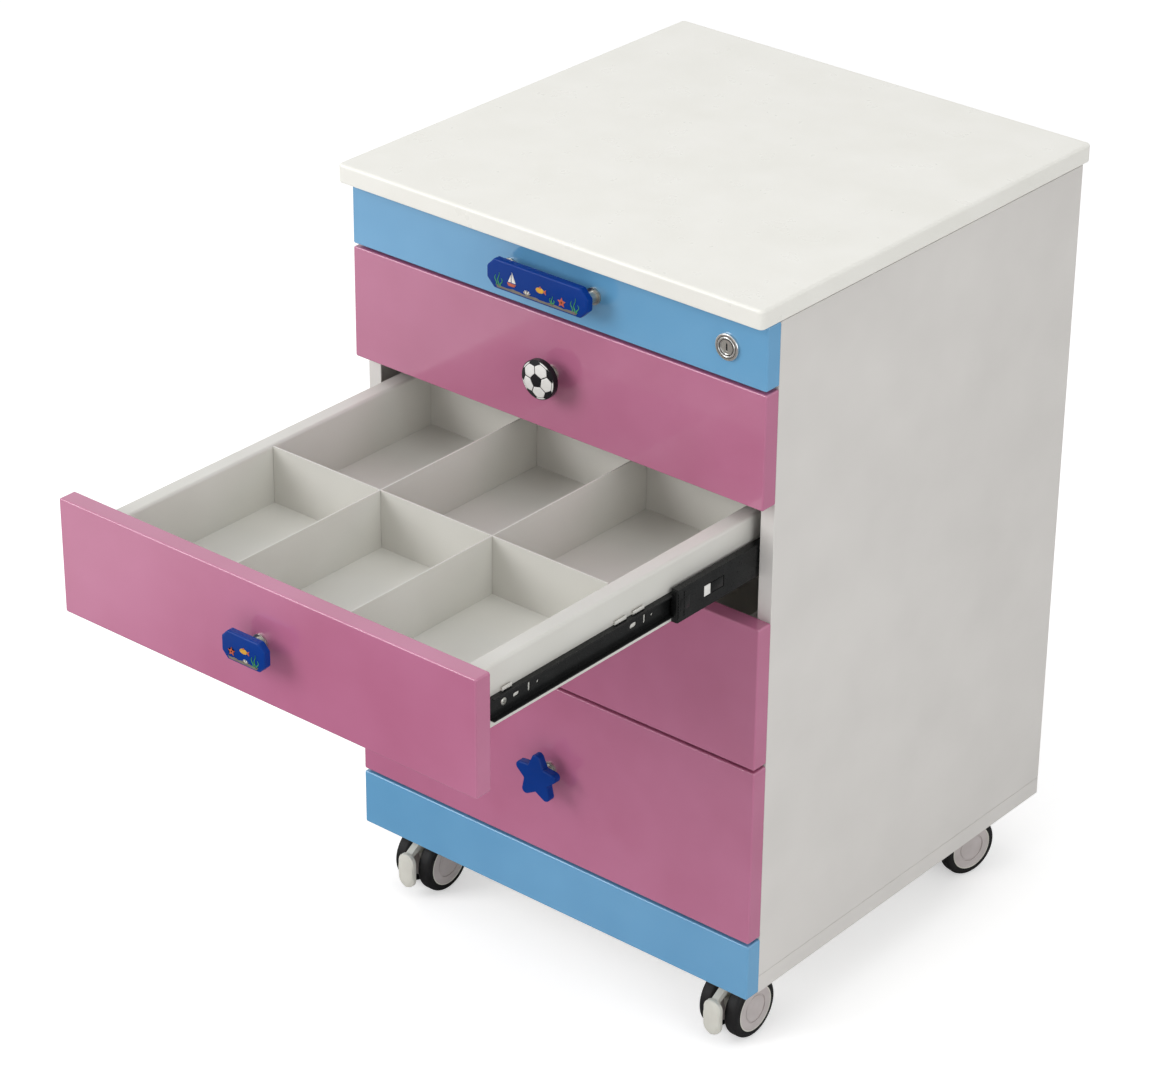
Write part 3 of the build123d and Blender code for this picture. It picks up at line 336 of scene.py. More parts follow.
def oval(x, z, half_width, half_height, count=24, turn=0.0):
    """An ellipse about (x, z), turned by degrees."""
    points = []
    for k in range(count):
        u = half_width * cos(2 * pi * k / count)
        v = half_height * sin(2 * pi * k / count)
        points.append((x + u * cos(radians(turn)) - v * sin(radians(turn)),
                       z + u * sin(radians(turn)) + v * cos(radians(turn))))
    return points


def inset(points, amount):
    """The outline moved inwards by an amount."""
    moved = []
    for i, (x, z) in enumerate(points):
        before, after = points[i - 1], points[(i + 1) % len(points)]
        dx, dz = after[0] - before[0], after[1] - before[1]
        length = hypot(dx, dz)
        moved.append((x - dz / length * amount, z + dx / length * amount))
    return moved


def softened(points, cut, steps=4):
    """Each corner replaced by a curve that starts and ends `cut` before it."""
    soft = []
    for i, corner in enumerate(points):
        corner = Vector(corner)
        before, after = Vector(points[i - 1]), Vector(points[(i + 1) % len(points)])
        start = corner + (before - corner).normalized() * min(cut, (before - corner).length * 0.45)
        stop = corner + (after - corner).normalized() * min(cut, (after - corner).length * 0.45)
        for k in range(steps + 1):
            t = k / steps
            soft.append(tuple(start * (1 - t) ** 2 + corner * 2 * t * (1 - t) + stop * t ** 2))
    return soft


def ribbon(path, widths):
    """A band along a path, with a width at each of its points."""
    left, right = [], []
    for i, (x, z) in enumerate(path):
        before, after = path[max(i - 1, 0)], path[min(i + 1, len(path) - 1)]
        dx, dz = after[0] - before[0], after[1] - before[1]
        length = hypot(dx, dz)
        half = widths[i] / 2
        right.append((x + dz / length * half, z - dx / length * half))
        left.append((x - dz / length * half, z + dx / length * half))
    return right + left[::-1]


def ring_at(outline, centre, y):
    """The outline, moved to a centre and to the plane y, in metres."""
    return [(centre[0] + x * MM, y, centre[1] + z * MM) for x, z in outline]


def relief(build, outline, centre, y_back, y_face, index):
    """A low raised shape with a softened rim."""
    loft(build, [ring_at(outline, centre, y_back), ring_at(outline, centre, y_face + RELIEF_LIP * MM),
                 ring_at(inset(outline, RELIEF_LIP), centre, y_face)], index)


print("mesh tools ready")

# %% [markdown]
# ## The long handle and the plate knob
# Both are cast resin plates with cut-off corners and a round front rim. A sandy strip runs along the lower
# edge, and seaside shapes stand a little above the face: a sailing boat, fish, starfish, weed and shells.

# %% Seaside shapes
SAND, WEED, CORAL, YELLOW, WHITE, SHELL = range(1, 7)
paint_sand = plastic("sand_paint", "#7d756a", "#665f58", 0.6, 0.8, 0.05)
paint_weed = plastic("sea_green_paint", "#3f9e5f", "#2f8450", 0.4, 0.8, 0.03)
paint_coral = plastic("coral_paint", "#c9603e", "#b04f33", 0.4, 0.8, 0.03)
paint_yellow = plastic("yellow_paint", "#dba62c", "#c98f1f", 0.4, 0.8, 0.03)
paint_white = plastic("white_paint", "#e9e8e2", "#dcdad2", 0.4, 0.8, 0.02)
paint_shell = plastic("shell_paint", "#a79f90", "#93897b", 0.45, 0.8, 0.03)
paints = (resin_blue, paint_sand, paint_weed, paint_coral, paint_yellow, paint_white, paint_shell)


# Outlines as shares of the shape's size, from its own origin.
FISH_TAIL = ((0.26, 0.0), (0.56, -0.19), (0.5, 0.0), (0.56, 0.19))
FISH_FIN = ((0.12, 0.15), (0.02, 0.31), (-0.12, 0.16))
BOAT_HULL = ((-0.36, 0.2), (-0.24, 0.0), (0.24, 0.0), (0.4, 0.2))
NEAR_SAIL = ((0.03, 0.27), (0.36, 0.27), (0.03, 1.0))
FAR_SAIL = ((-0.03, 0.27), (-0.03, 0.82), (-0.28, 0.27))


def cut_out(shares, x, z, size, cut):
    """An outline of a size, set at (x, z), with its corners softened."""
    return softened([(x + size * across, z + size * up) for across, up in shares], cut, 2)


def starfish(x, z, reach):
    """Five arms, the first one upright, about a round middle."""
    points = []
    for k in range(10):
        radius = reach if k % 2 == 0 else reach * 0.42
        angle = radians(90 + k * 36)
        points.append((x + radius * cos(angle), z + radius * sin(angle)))
    return [(CORAL, softened(points, reach * 0.22, 3)), (YELLOW, oval(x, z, reach * 0.2, reach * 0.2, 12))]


def fish(x, z, length):
    """A fish that swims to the left."""
    eye = length * 0.035
    return [(YELLOW, oval(x, z, length * 0.36, length * 0.2)),
            (CORAL, cut_out(FISH_TAIL, x, z, length, 0.5)),
            (CORAL, cut_out(FISH_FIN, x, z, length, 0.4)),
            (WHITE, oval(x - length * 0.22, z + length * 0.05, eye, eye, 10))]


def sailing_boat(x, z, height):
    """A hull with two sails, standing on (x, z)."""
    return [(CORAL, cut_out(BOAT_HULL, x, z, height, 0.5)),
            (WHITE, cut_out(NEAR_SAIL, x, z, height, 0.4)),
            (WHITE, cut_out(FAR_SAIL, x, z, height, 0.4))]


def seaweed(x, z, height):
    """Three blades that sway and lean apart."""
    shapes = []
    for k, tall in enumerate((0.75, 1.0, 0.6)):
        path = []
        for step in range(9):
            t = step / 8
            sway = sin(t * 2.2 * pi + k * 1.7) * height * 0.07
            path.append((x + (k - 1) * height * 0.2 + sway + (k - 1) * t * height * 0.1,
                         z + t * tall * height))
        widths = [max(0.25, 1.35 * (1 - 0.75 * step / 8)) for step in range(9)]
        shapes.append((WEED, ribbon(path, widths)))
    return shapes


def scallop_shell(x, z, reach):
    """Five ribs that fan out from a hinge."""
    shapes = [(SHELL, oval(x, z + reach * 0.12, reach * 0.35, reach * 0.2, 12))]
    for k in range(5):
        lean = 90 + (k - 2) * 30
        middle = reach * 0.62
        shapes.append((WHITE if k % 2 else SHELL,
                       oval(x + middle * cos(radians(lean)), z + middle * sin(radians(lean)),
                            reach * 0.42, reach * 0.15, 12, lean)))
    return shapes


def sand_strip(half_width, low):
    """A strip with a wavy upper edge, counted from right to left."""
    steps = 24
    top = [(half_width * (1 - 2 * k / steps), low + 2.3 + 0.45 * sin(k * 1.1) + 0.25 * sin(k * 2.7))
           for k in range(steps + 1)]
    bottom = [(-half_width + 1.6, low), (half_width - 1.6, low)]
    return [(SAND, bottom + top)]


print("paints:", [m.name for m in paints[1:]])

# %% Cast plates with their shapes
RELIEF_HEIGHT = 0.55    # millimetres, as the other sizes here
PLATE_RIM = 1.8
PLATE_BACK_RIM = 0.5
PLATE_CORNER = 1.3
RIM_STEPS = 6


def cast_plate(name, node, body, corner, shapes):
    """An eight-sided plate in the place of a CAD node, with raised shapes on its face."""
    low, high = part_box(node)
    w, h, c = (high[0] - low[0]) / 2 / MM, (high[2] - low[2]) / 2 / MM, corner
    centre = ((low[0] + high[0]) / 2, (low[2] + high[2]) / 2)
    octagon = [(w - c, -h), (w, -h + c), (w, h - c), (w - c, h),
               (-w + c, h), (-w, h - c), (-w, -h + c), (-w + c, -h)]
    outline = softened(octagon, PLATE_CORNER)
    face_y = low[1] + RELIEF_HEIGHT * MM
    build = bmesh.new()
    rings = [ring_at(inset(outline, PLATE_BACK_RIM), centre, high[1]),
             ring_at(outline, centre, high[1] - PLATE_BACK_RIM * MM)]
    for k in range(RIM_STEPS + 1):
        angle = pi / 2 * k / RIM_STEPS
        rings.append(ring_at(inset(outline, PLATE_RIM * (1 - cos(angle))), centre,
                             face_y + PLATE_RIM * MM * (1 - sin(angle))))
    loft(build, rings)
    for index, shape in shapes:
        relief(build, shape, centre, face_y + 0.3 * MM, low[1] + 0.05 * MM, index)
    piece = put(name, build, body, "resin_blue", *paints)
    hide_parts(node)


# Places and sizes in millimetres, from the middle of each plate.
handle_shapes = (sand_strip(47.0, -12.2) + seaweed(-44.0, -10.4, 13.0) + sailing_boat(-29.0, -7.0, 14.0)
                 + scallop_shell(-11.0, -10.0, 4.6) + fish(4.0, -1.0, 13.0) + seaweed(18.0, -10.4, 8.0)
                 + starfish(29.0, -5.0, 5.2) + seaweed(44.0, -10.4, 14.0))
plate_shapes = (sand_strip(17.5, -11.9) + starfish(-13.0, -4.4, 4.6) + fish(1.0, 0.5, 12.0)
                + seaweed(14.0, -10.2, 12.0) + scallop_shell(3.0, -10.0, 3.4))
cast_plate("shaped_handle", "top_drawer_handle", "top_drawer", 8.5, handle_shapes)
cast_plate("shaped_plate_knob", "drawer_2_knob", "drawer_2", 6.8, plate_shapes)
print("cast plates with", len(handle_shapes), "and", len(plate_shapes), "raised shapes")

# %% [markdown]
# ## The ball knob
# A football has 12 five-sided and 20 six-sided panels. Their corners lie a third of the way along the edges
# of an icosahedron. The knob shows the near half of such a ball, pressed flat onto its dome.

# %% Panels on the ball knob
BALL_TURN = 12.0        # degrees
BALL_DOME = 3.0         # millimetres, as the next two
BALL_RIM = 0.9
PANEL_HEIGHT = 0.3
BALL_EDGE = 0.93        # share of the ball's radius that reaches the rim
NEIGHBOURS = 1.1        # corners of the unit icosahedron closer than this share an edge
WHITE_SHARE = 0.93      # panels against their full size: white ones leave a seam
BLACK_SHARE = 1.02
LEAST_FACING = 0.3      # panels that face the viewer less than this are left out
EDGE_STEPS = 6
PANEL_LOOPS = ((0.0001, 1.0), (0.35, 1.0), (0.7, 1.0), (0.94, 1.0), (1.0, 0.4))


def icosahedron():
    """Corners with one towards the viewer, without the one behind, and the faces between them."""
    ring_angle = atan2(2, 1)
    corners = [Vector((0, 0, 1))]
    for start, side in ((90, 1), (126, -1)):
        for k in range(5):
            turn = radians(start + BALL_TURN + 72 * k)
            corners.append(Vector((sin(ring_angle) * cos(turn), sin(ring_angle) * sin(turn),
                                   side * cos(ring_angle))))
    faces = []
    for a in range(11):
        for b in range(a + 1, 11):
            for c in range(b + 1, 11):
                spans = [(corners[p] - corners[q]).length for p, q in ((a, b), (b, c), (a, c))]
                if max(spans) < NEIGHBOURS:
                    faces.append((a, b, c))
    return corners, faces


def panel_outlines():
    """The corners of each panel, in order, and whether the panel is black."""
    corners, faces = icosahedron()
    panels = []
    for a in range(6):
        near = [corners[b] for b in range(11) if 0 < (corners[a] - corners[b]).length < NEIGHBOURS]
        panels.append(([corners[a] * 2 / 3 + other / 3 for other in near], True))
    for face in faces:
        ends = [(p, q) for p in face for q in face if p != q]
        panels.append(([corners[p] * 2 / 3 + corners[q] / 3 for p, q in ends], False))
    return panels


def in_order(points):
    """The middle of the points, and the points sorted round it."""
    middle = sum(points, Vector()) / len(points)
    first = (points[0] - middle).normalized()
    second = middle.normalized().cross(first)
    return middle, sorted(points, key=lambda p: atan2((p - middle).dot(second), (p - middle).dot(first)))


def on_dome(point, centre, apex_y, radius, height):
    """A direction from the ball's centre, as a place on the knob's dome."""
    flat = Vector((point[0], point[1]))
    if point[2] < 0 or flat.length > BALL_EDGE:
        flat = flat.normalized() * BALL_EDGE
    reach = flat.length / BALL_EDGE * (radius - BALL_RIM * MM)
    bow = (radius ** 2 + (BALL_DOME * MM) ** 2) / (2 * BALL_DOME * MM)
    sag = bow - sqrt(bow ** 2 - reach ** 2)
    side = flat.normalized() * reach if flat.length > 1e-6 else Vector((0, 0))
    return (centre[0] + side[0], apex_y + sag - height, centre[1] + side[1])


def ball_panel(build, points, black, centre, apex_y, radius):
    """One panel: a thin closed cap, with a seam left around it."""
    middle, points = in_order(points)
    points = [middle.lerp(p, BLACK_SHARE if black else WHITE_SHARE) for p in points]
    if max(p.normalized()[2] for p in points) < LEAST_FACING:
        return
    edge = []
    for a, b in zip(points, points[1:] + points[:1]):
        edge += [a.lerp(b, k / EDGE_STEPS).normalized() for k in range(EDGE_STEPS)]
    loops = []
    for share, rise in PANEL_LOOPS:
        loops.append([on_dome(middle.lerp(p, share).normalized(), centre, apex_y, radius,
                              PANEL_HEIGHT * MM * rise) for p in edge])
    loops.append([on_dome(p, centre, apex_y, radius, -0.4 * MM) for p in edge])
    loops.append([on_dome(middle.lerp(p, 0.5).normalized(), centre, apex_y, radius, -0.5 * MM)
                  for p in edge])
    loft(build, loops, 1 if black else 0)


low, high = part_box("drawer_1_knob")
ball_centre = ((low[0] + high[0]) / 2, (low[2] + high[2]) / 2)
ball_radius = (high[0] - low[0]) / 2
ball_panels = panel_outlines()
build = bmesh.new()
for points, black in ball_panels:
    ball_panel(build, points, black, ball_centre, low[1], ball_radius)
bmesh.ops.remove_doubles(build, verts=build.verts[:], dist=0.02 * MM)
bmesh.ops.dissolve_degenerate(build, edges=build.edges[:], dist=0.01 * MM)
put("ball_knob_panels", build, "drawer_1", "resin_white", resin_white, resin_black)
knob_mesh = frame["nodes"]["drawer_1_knob"].data
knob_mesh.materials.clear()
knob_mesh.materials.append(resin_black)
print("ball knob panels:", len(ball_panels))

# %% [markdown]
# ## Repeats by Geometry Nodes
# Screws, rings and ribs repeat. Each tree makes one of them from named sizes and puts it on every spot of
# a cloud of points, whose `turn` attribute says which way it faces. The result is kept as a plain mesh.

# %% Trees that repeat a part
def new_tree(name, sizes):
    """A tree with a Points input, one input for each size in metres, and a geometry output."""
    tree = bpy.data.node_groups.new(name, "GeometryNodeTree")
    tree.interface.new_socket("Points", in_out="INPUT", socket_type="NodeSocketGeometry")
    for size, value in sizes.items():
        kind = "NodeSocketInt" if isinstance(value, int) else "NodeSocketFloat"
        tree.interface.new_socket(size, in_out="INPUT", socket_type=kind).default_value = value
    tree.interface.new_socket("Geometry", in_out="OUTPUT", socket_type="NodeSocketGeometry")
    return tree, tree.nodes.new("NodeGroupInput")


def end_tree(tree, group_input, part, material):
    """Puts the part on every point, turned as the point says, as real mesh with a material."""
    nodes, links = tree.nodes, tree.links
    attribute = nodes.new("GeometryNodeInputNamedAttribute")
    attribute.data_type = "FLOAT_VECTOR"
    attribute.inputs["Name"].default_value = "turn"
    turn = nodes.new("FunctionNodeEulerToRotation")
    scatter_node = nodes.new("GeometryNodeInstanceOnPoints")
    real = nodes.new("GeometryNodeRealizeInstances")
    paint = nodes.new("GeometryNodeSetMaterial")
    paint.inputs["Material"].default_value = material
    group_output = nodes.new("NodeGroupOutput")
    links.new(attribute.outputs["Attribute"], turn.inputs["Euler"])
    links.new(group_input.outputs["Points"], scatter_node.inputs["Points"])
    links.new(part, scatter_node.inputs["Instance"])
    links.new(turn.outputs["Rotation"], scatter_node.inputs["Rotation"])
    links.new(scatter_node.outputs["Instances"], real.inputs["Geometry"])
    links.new(real.outputs["Geometry"], paint.inputs["Geometry"])
    links.new(paint.outputs["Geometry"], group_output.inputs["Geometry"])


def vector_of(tree, *values):
    """A vector from sockets or numbers."""
    node = tree.nodes.new("ShaderNodeCombineXYZ")
    for socket, value in zip(node.inputs, values):
        if isinstance(value, (int, float)):
            socket.default_value = value
        else:
            tree.links.new(value, socket)
    return node.outputs["Vector"]


def screw_tree(name, material):
    """A low round head with a cross recess, facing +Z."""
    tree, sizes = new_tree(name, {"Head radius": 0.004, "Head height": 0.0016, "Recess width": 0.0009})
    nodes, links = tree.nodes, tree.links
    ball = nodes.new("GeometryNodeMeshUVSphere")
    ball.inputs["Segments"].default_value = 28
    ball.inputs["Rings"].default_value = 14
    ball.inputs["Radius"].default_value = 1.0
    head = nodes.new("GeometryNodeTransform")
    links.new(ball.outputs["Mesh"], head.inputs["Geometry"])
    links.new(vector_of(tree, sizes.outputs["Head radius"], sizes.outputs["Head radius"],
                        sizes.outputs["Head height"]), head.inputs["Scale"])
    cut = nodes.new("GeometryNodeMeshBoolean")
    cut.operation = "DIFFERENCE"
    links.new(head.outputs["Geometry"], cut.inputs["Mesh 1"])
    for first, second in (("Head radius", "Recess width"), ("Recess width", "Head radius")):
        bar = nodes.new("GeometryNodeMeshCube")
        links.new(vector_of(tree, sizes.outputs[first], sizes.outputs[second],
                            sizes.outputs["Head height"]), bar.inputs["Size"])
        lift = nodes.new("GeometryNodeTransform")
        links.new(bar.outputs["Mesh"], lift.inputs["Geometry"])
        links.new(vector_of(tree, 0.0, 0.0, sizes.outputs["Head height"]), lift.inputs["Translation"])
        links.new(lift.outputs["Geometry"], cut.inputs["Mesh 2"])
    end_tree(tree, sizes, cut.outputs["Mesh"], material)
    return tree


def ring_tree(name, material):
    """A round wire bent into a ring about Z."""
    tree, sizes = new_tree(name, {"Ring radius": 0.023, "Wire radius": 0.0005})
    nodes, links = tree.nodes, tree.links
    path = nodes.new("GeometryNodeCurvePrimitiveCircle")
    path.inputs["Resolution"].default_value = 72
    links.new(sizes.outputs["Ring radius"], path.inputs["Radius"])
    wire = nodes.new("GeometryNodeCurvePrimitiveCircle")
    wire.inputs["Resolution"].default_value = 12
    links.new(sizes.outputs["Wire radius"], wire.inputs["Radius"])
    sweep = nodes.new("GeometryNodeCurveToMesh")
    links.new(path.outputs["Curve"], sweep.inputs["Curve"])
    links.new(wire.outputs["Curve"], sweep.inputs["Profile Curve"])
    end_tree(tree, sizes, sweep.outputs["Mesh"], material)
    return tree


def rib_tree(name, material):
    """A row of small upright ribs along Z."""
    tree, sizes = new_tree(name, {"Rib count": 9, "Pitch": 0.0028, "Rib length": 0.0012,
                                  "Rib depth": 0.0012, "Rib height": 0.0014})
    nodes, links = tree.nodes, tree.links
    row = nodes.new("GeometryNodeMeshLine")
    links.new(sizes.outputs["Rib count"], row.inputs["Count"])
    links.new(vector_of(tree, 0.0, 0.0, sizes.outputs["Pitch"]), row.inputs["Offset"])
    rib = nodes.new("GeometryNodeMeshCube")
    links.new(vector_of(tree, sizes.outputs["Rib depth"], sizes.outputs["Rib length"],
                        sizes.outputs["Rib height"]), rib.inputs["Size"])
    repeat = nodes.new("GeometryNodeInstanceOnPoints")
    links.new(row.outputs["Mesh"], repeat.inputs["Points"])
    links.new(rib.outputs["Mesh"], repeat.inputs["Instance"])
    end_tree(tree, sizes, repeat.outputs["Instances"], material)
    return tree


def scatter(name, tree, spots, sizes, body):
    """Runs a tree on spots, each a place and a turn, and keeps the plain mesh as a piece."""
    cloud = bpy.data.meshes.new(name + "_spots")
    cloud.from_pydata([place for place, turn in spots], [], [])
    turns = cloud.attributes.new("turn", "FLOAT_VECTOR", "POINT")
    for item, (place, turn) in zip(turns.data, spots):
        item.vector = turn
    holder = bpy.data.objects.new(name + "_holder", cloud)
    bpy.context.scene.collection.objects.link(holder)
    modifier = holder.modifiers.new("repeat", "NODES")
    modifier.node_group = tree
    for socket in tree.interface.items_tree:
        if socket.item_type == "SOCKET" and socket.in_out == "INPUT" and socket.name in sizes:
            modifier[socket.identifier] = sizes[socket.name]
    evaluated = holder.evaluated_get(bpy.context.evaluated_depsgraph_get())
    mesh = bpy.data.meshes.new_from_object(evaluated)
    holder.modifiers.remove(modifier)
    bpy.data.objects.remove(holder)
    return finish_piece(name, mesh, body, ())


screws = screw_tree("cross_screws", zinc)
rings = ring_tree("wheel_rings", nylon_light)
ribs = rib_tree("stop_ribs", runner_black)
print("trees:", screws.name, rings.name, ribs.name)

# %% [markdown]
# ## Ball runners
# Each drawer member is held by cross-head screws in its round holes, and three bright tabs lanced out of the
# drawer's wall hook over its upper flange. A ribbed plastic stop closes the front of the middle member, and a
# white catch sits at the front of its window.

# %% Runner screws, tabs, stops and catches
# All in millimetres. Places along a member count from its front end, places across it from its outer face,
# and heights from its centre line.
SCREW_FROM_FRONT = 17.0
SCREW_FROM_REAR = 38.0
SCREW_SIZES = {"Head radius": 3.6 * MM, "Head height": 1.2 * MM, "Recess width": 0.7 * MM}
MEMBER_DEPTH = 6.2
MEMBER_SHEET = 1.2
TABS_ALONG = ((14.0, 12.0), (158.0, 15.0), (182.0, 15.0))       # place and length
TAB_LEAVES = ((0.0, 2.6, 0.3, 1.3), (1.8, 2.6, 0.3, 4.2))       # across from the web, up from the flange
STOP_BLOCKS = (         # across, along, half height, rim, and 0 for black or 1 for white
    (-6.4, -0.2, -1.5, 3.5, 15.6, 0.5, 0),      # plastic stop over the member's end
    (-1.6, 0.25, 3.0, 16.0, 6.0, 0.4, 0),       # its tongue
    (-3.4, 0.1, 36.4, 45.0, 5.1, 0.4, 1),       # white catch in the window
    (-3.4, 0.1, 45.4, 63.0, 4.8, 0.4, 0))       # dark slider behind the catch
RIB_ROWS = (1.0, 9.0)
RIB_FACE = 0.1
RIB_START = -11.2
FACING = {1: (0.0, pi / 2, 0.0), -1: (0.0, -pi / 2, 0.0)}


def slab(build, low, high, rim_mm, index=0):
    """A box between two corners with softened edges."""
    corners = bmesh.ops.create_cube(build, size=1.0)["verts"]
    for vert in corners:
        for axis in range(3):
            vert.co[axis] = (low[axis] + high[axis]) / 2 + vert.co[axis] * (high[axis] - low[axis])
    edges = {edge for vert in corners for edge in vert.link_edges}
    made = bmesh.ops.bevel(build, geom=list(edges), offset=rim_mm * MM, segments=2, profile=0.5,
                           affect="EDGES")["verts"]
    for face in {face for vert in made for face in vert.link_faces}:
        face.material_index = index


def sided(side, x0, x1):
    """Two places across, mirrored for the left side, in ascending order."""
    return sorted((side * x0, side * x1))


def drawer_member_details(drawer):
    """Screws and lanced tabs, which travel with the drawer."""
    low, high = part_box(drawer + "_runner_inner")
    middle_z = (low[2] + high[2]) / 2
    web_x = high[0] - MEMBER_DEPTH * MM
    face_x = web_x + MEMBER_SHEET * MM
    spots = [((side * face_x, y, middle_z), FACING[side])
             for y in (low[1] + SCREW_FROM_FRONT * MM, high[1] - SCREW_FROM_REAR * MM) for side in (1, -1)]
    scatter(drawer + "_runner_screws", screws, spots, SCREW_SIZES, drawer)
    build = bmesh.new()
    for side in (1, -1):
        for along, length in TABS_ALONG:
            y0, y1 = low[1] + along * MM, low[1] + (along + length) * MM
            for x0, x1, z0, z1 in TAB_LEAVES:
                a, b = sided(side, web_x + x0 * MM, web_x + x1 * MM)
                slab(build, (a, y0, high[2] + z0 * MM), (b, y1, high[2] + z1 * MM), 0.2)
    put(drawer + "_lanced_tabs", build, drawer, "steel_body", steel_inside)


def middle_member_details(drawer):
    """Stops, catches and ribs, which travel with the middle members."""
    body = drawer + "_middle_members"
    low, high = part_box(drawer + "_runner_middle")
    middle_z = (low[2] + high[2]) / 2
    outer_x = high[0]
    build = bmesh.new()
    for side in (1, -1):
        for x0, x1, y0, y1, half_height, rim, paint in STOP_BLOCKS:
            a, b = sided(side, outer_x + x0 * MM, outer_x + x1 * MM)
            slab(build, (a, low[1] + y0 * MM, middle_z - half_height * MM),
                 (b, low[1] + y1 * MM, middle_z + half_height * MM), rim, paint)
    put(drawer + "_runner_stops", build, body, "steel_dark", runner_black, resin_white)
    spots = [((side * (outer_x + RIB_FACE * MM), low[1] + along * MM, middle_z + RIB_START * MM),
              (0.0, 0.0, 0.0)) for side in (1, -1) for along in RIB_ROWS]
    scatter(drawer + "_stop_ribs", ribs, spots, {"Rib depth": 1.0 * MM}, body)


for drawer in ("top_drawer", "drawer_1", "drawer_2", "drawer_3", "drawer_4"):
    drawer_member_details(drawer)
    middle_member_details(drawer)
print("runner details on five drawers")

# %% [markdown]
# ## Castors and lock
# The wheels carry a bright thin ring where the disc meets the tread, and a low cap in the middle of the disc.
# Their places come from the wheels' own joints. The lock's ring has two grooves, shown as black wire rings
# whose colour is painted shade, with a bead between them, and each brake pedal has a domed oval pad.

# %% Wheel rings and caps
# All in millimetres.
WHEEL_HALF = 22.6       # from the castor's middle to the disc's face
RING_SIZES = {"Ring radius": 23.1 * MM, "Wire radius": 0.55 * MM}
RING_SINK = 0.1
CAP_SINK = 1.0
CAP_RADIUS, CAP_HEIGHT, CAP_LIP = 13.5, 0.9, 0.7
joints = {j["name"]: j for j in frame["record"]["behaviour"]["joints"]}


def round_cap(build, centre, axis, radius, height, lip):
    """A low turned cap about an axis, closed at its back."""
    up = Vector((0, 0, 1))
    side = axis.cross(up)
    loops = []
    for reach, rise in ((radius, -0.5 * MM), (radius, height * 0.4), (radius - lip, height),
                        (radius - 2 * lip, height * 0.8), (radius * 0.25, height)):
        loops.append([centre + axis * rise + (side * cos(2 * pi * k / 48) + up * sin(2 * pi * k / 48)) * reach
                      for k in range(48)])
    loft(build, loops)


for castor in ("castor_front_left", "castor_front_right", "castor_back_left", "castor_back_right"):
    joint = joints[castor + "_wheel_spin"]
    centre, axis = Vector(joint["pos_m"]), Vector(joint["axis"]).normalized()
    lean = atan2(axis[1], axis[0])
    spots = [(centre + axis * side * (WHEEL_HALF - RING_SINK) * MM, (0.0, pi / 2, lean)) for side in (1, -1)]
    scatter(castor + "_disc_rings", rings, spots, RING_SIZES, castor + "_wheels")
    build = bmesh.new()
    for side in (1, -1):
        round_cap(build, centre + axis * side * (WHEEL_HALF - CAP_SINK) * MM, axis * side,
                  CAP_RADIUS * MM, CAP_HEIGHT * MM, CAP_LIP * MM)
    put(castor + "_disc_caps", build, castor + "_wheels", "nylon_grey", nylon_grey)

print("wheel details on four castors")

# %% Painted-shade groove rings and bead on the lock's ring
# The grooves are black wire rings; their colour is painted shade for the recesses.
groove_shade_rings = ring_tree("lock_groove_painted_shade", runner_black)
beads = ring_tree("lock_beads", chrome)
# Name, tree, and in millimetres: depth behind the ring's face, radius of the ring, radius of the wire.
LOCK_RINGS = (("lock_groove_inner", groove_shade_rings, 0.05, 7.4, 0.38),
              ("lock_groove_outer", groove_shade_rings, 0.1, 10.1, 0.28),
              ("lock_bead", beads, 0.0, 8.8, 0.6))
low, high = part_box("lock_plug")
lock_x, lock_z = (low[0] + high[0]) / 2, (low[2] + high[2]) / 2
ring_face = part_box("lock_housing")[0][1]
for name, tree, depth, ring_radius, wire_radius in LOCK_RINGS:
    scatter(name, tree, [((lock_x, ring_face + depth * MM, lock_z), (pi / 2, 0.0, 0.0))],
            {"Ring radius": ring_radius * MM, "Wire radius": wire_radius * MM}, "top_drawer")
print("rings on the lock:", len(LOCK_RINGS))

# %% Pads on the brake pedals
# All in millimetres, but for the first number of each loop, which is a share of the pad's size.
PAD_CENTRE = 19.0       # above the pedal's lower end
PAD_HALF_WIDTH, PAD_HALF_HEIGHT = 9.6, 18.6
PAD_LOOPS = ((0.9, -0.8), (0.99, -0.2), (1.0, 0.1), (0.93, 0.6), (0.78, 1.0), (0.5, 1.3), (0.2, 1.4))

for castor in ("castor_front_left", "castor_front_right"):
    low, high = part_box(castor + "_pedal")
    centre = ((low[0] + high[0]) / 2, low[2] + PAD_CENTRE * MM)
    build = bmesh.new()
    loft(build, [ring_at(oval(0, 0, PAD_HALF_WIDTH * share, PAD_HALF_HEIGHT * share, 40), centre,
                         low[1] - rise * MM) for share, rise in PAD_LOOPS])
    put(castor + "_pedal_pad", build, castor + "_brake", "nylon_light", nylon_light)
print("pads on both brake pedals")

# %% [markdown]
# ## Studio
# The floor is pale and takes the cabinet's shadow. Rays from the camera and from shiny surfaces see a
# white room; the lamps set how bright the cabinet is, and painted shade on the floor, seen only in shiny
# surfaces, darkens parts of the fronts' reflections.

# %% Floor and world
def seen_directly(nodes, links):
    """1 for camera, glossy and transmission rays, 0 for light bouncing off matt surfaces."""
    path = nodes.new("ShaderNodeLightPath")
    total = path.outputs["Is Camera Ray"]
    for output in ("Is Glossy Ray", "Is Transmission Ray"):
        larger = nodes.new("ShaderNodeMath")
        larger.operation = "MAXIMUM"
        links.new(total, larger.inputs[0])
        links.new(path.outputs[output], larger.inputs[1])
        total = larger.outputs["Value"]
    return total


FLOOR_REACH = 9.0    # metres from the middle to each side
FLOOR_CORNERS = ((-1, -1), (1, -1), (1, 1), (-1, 1))


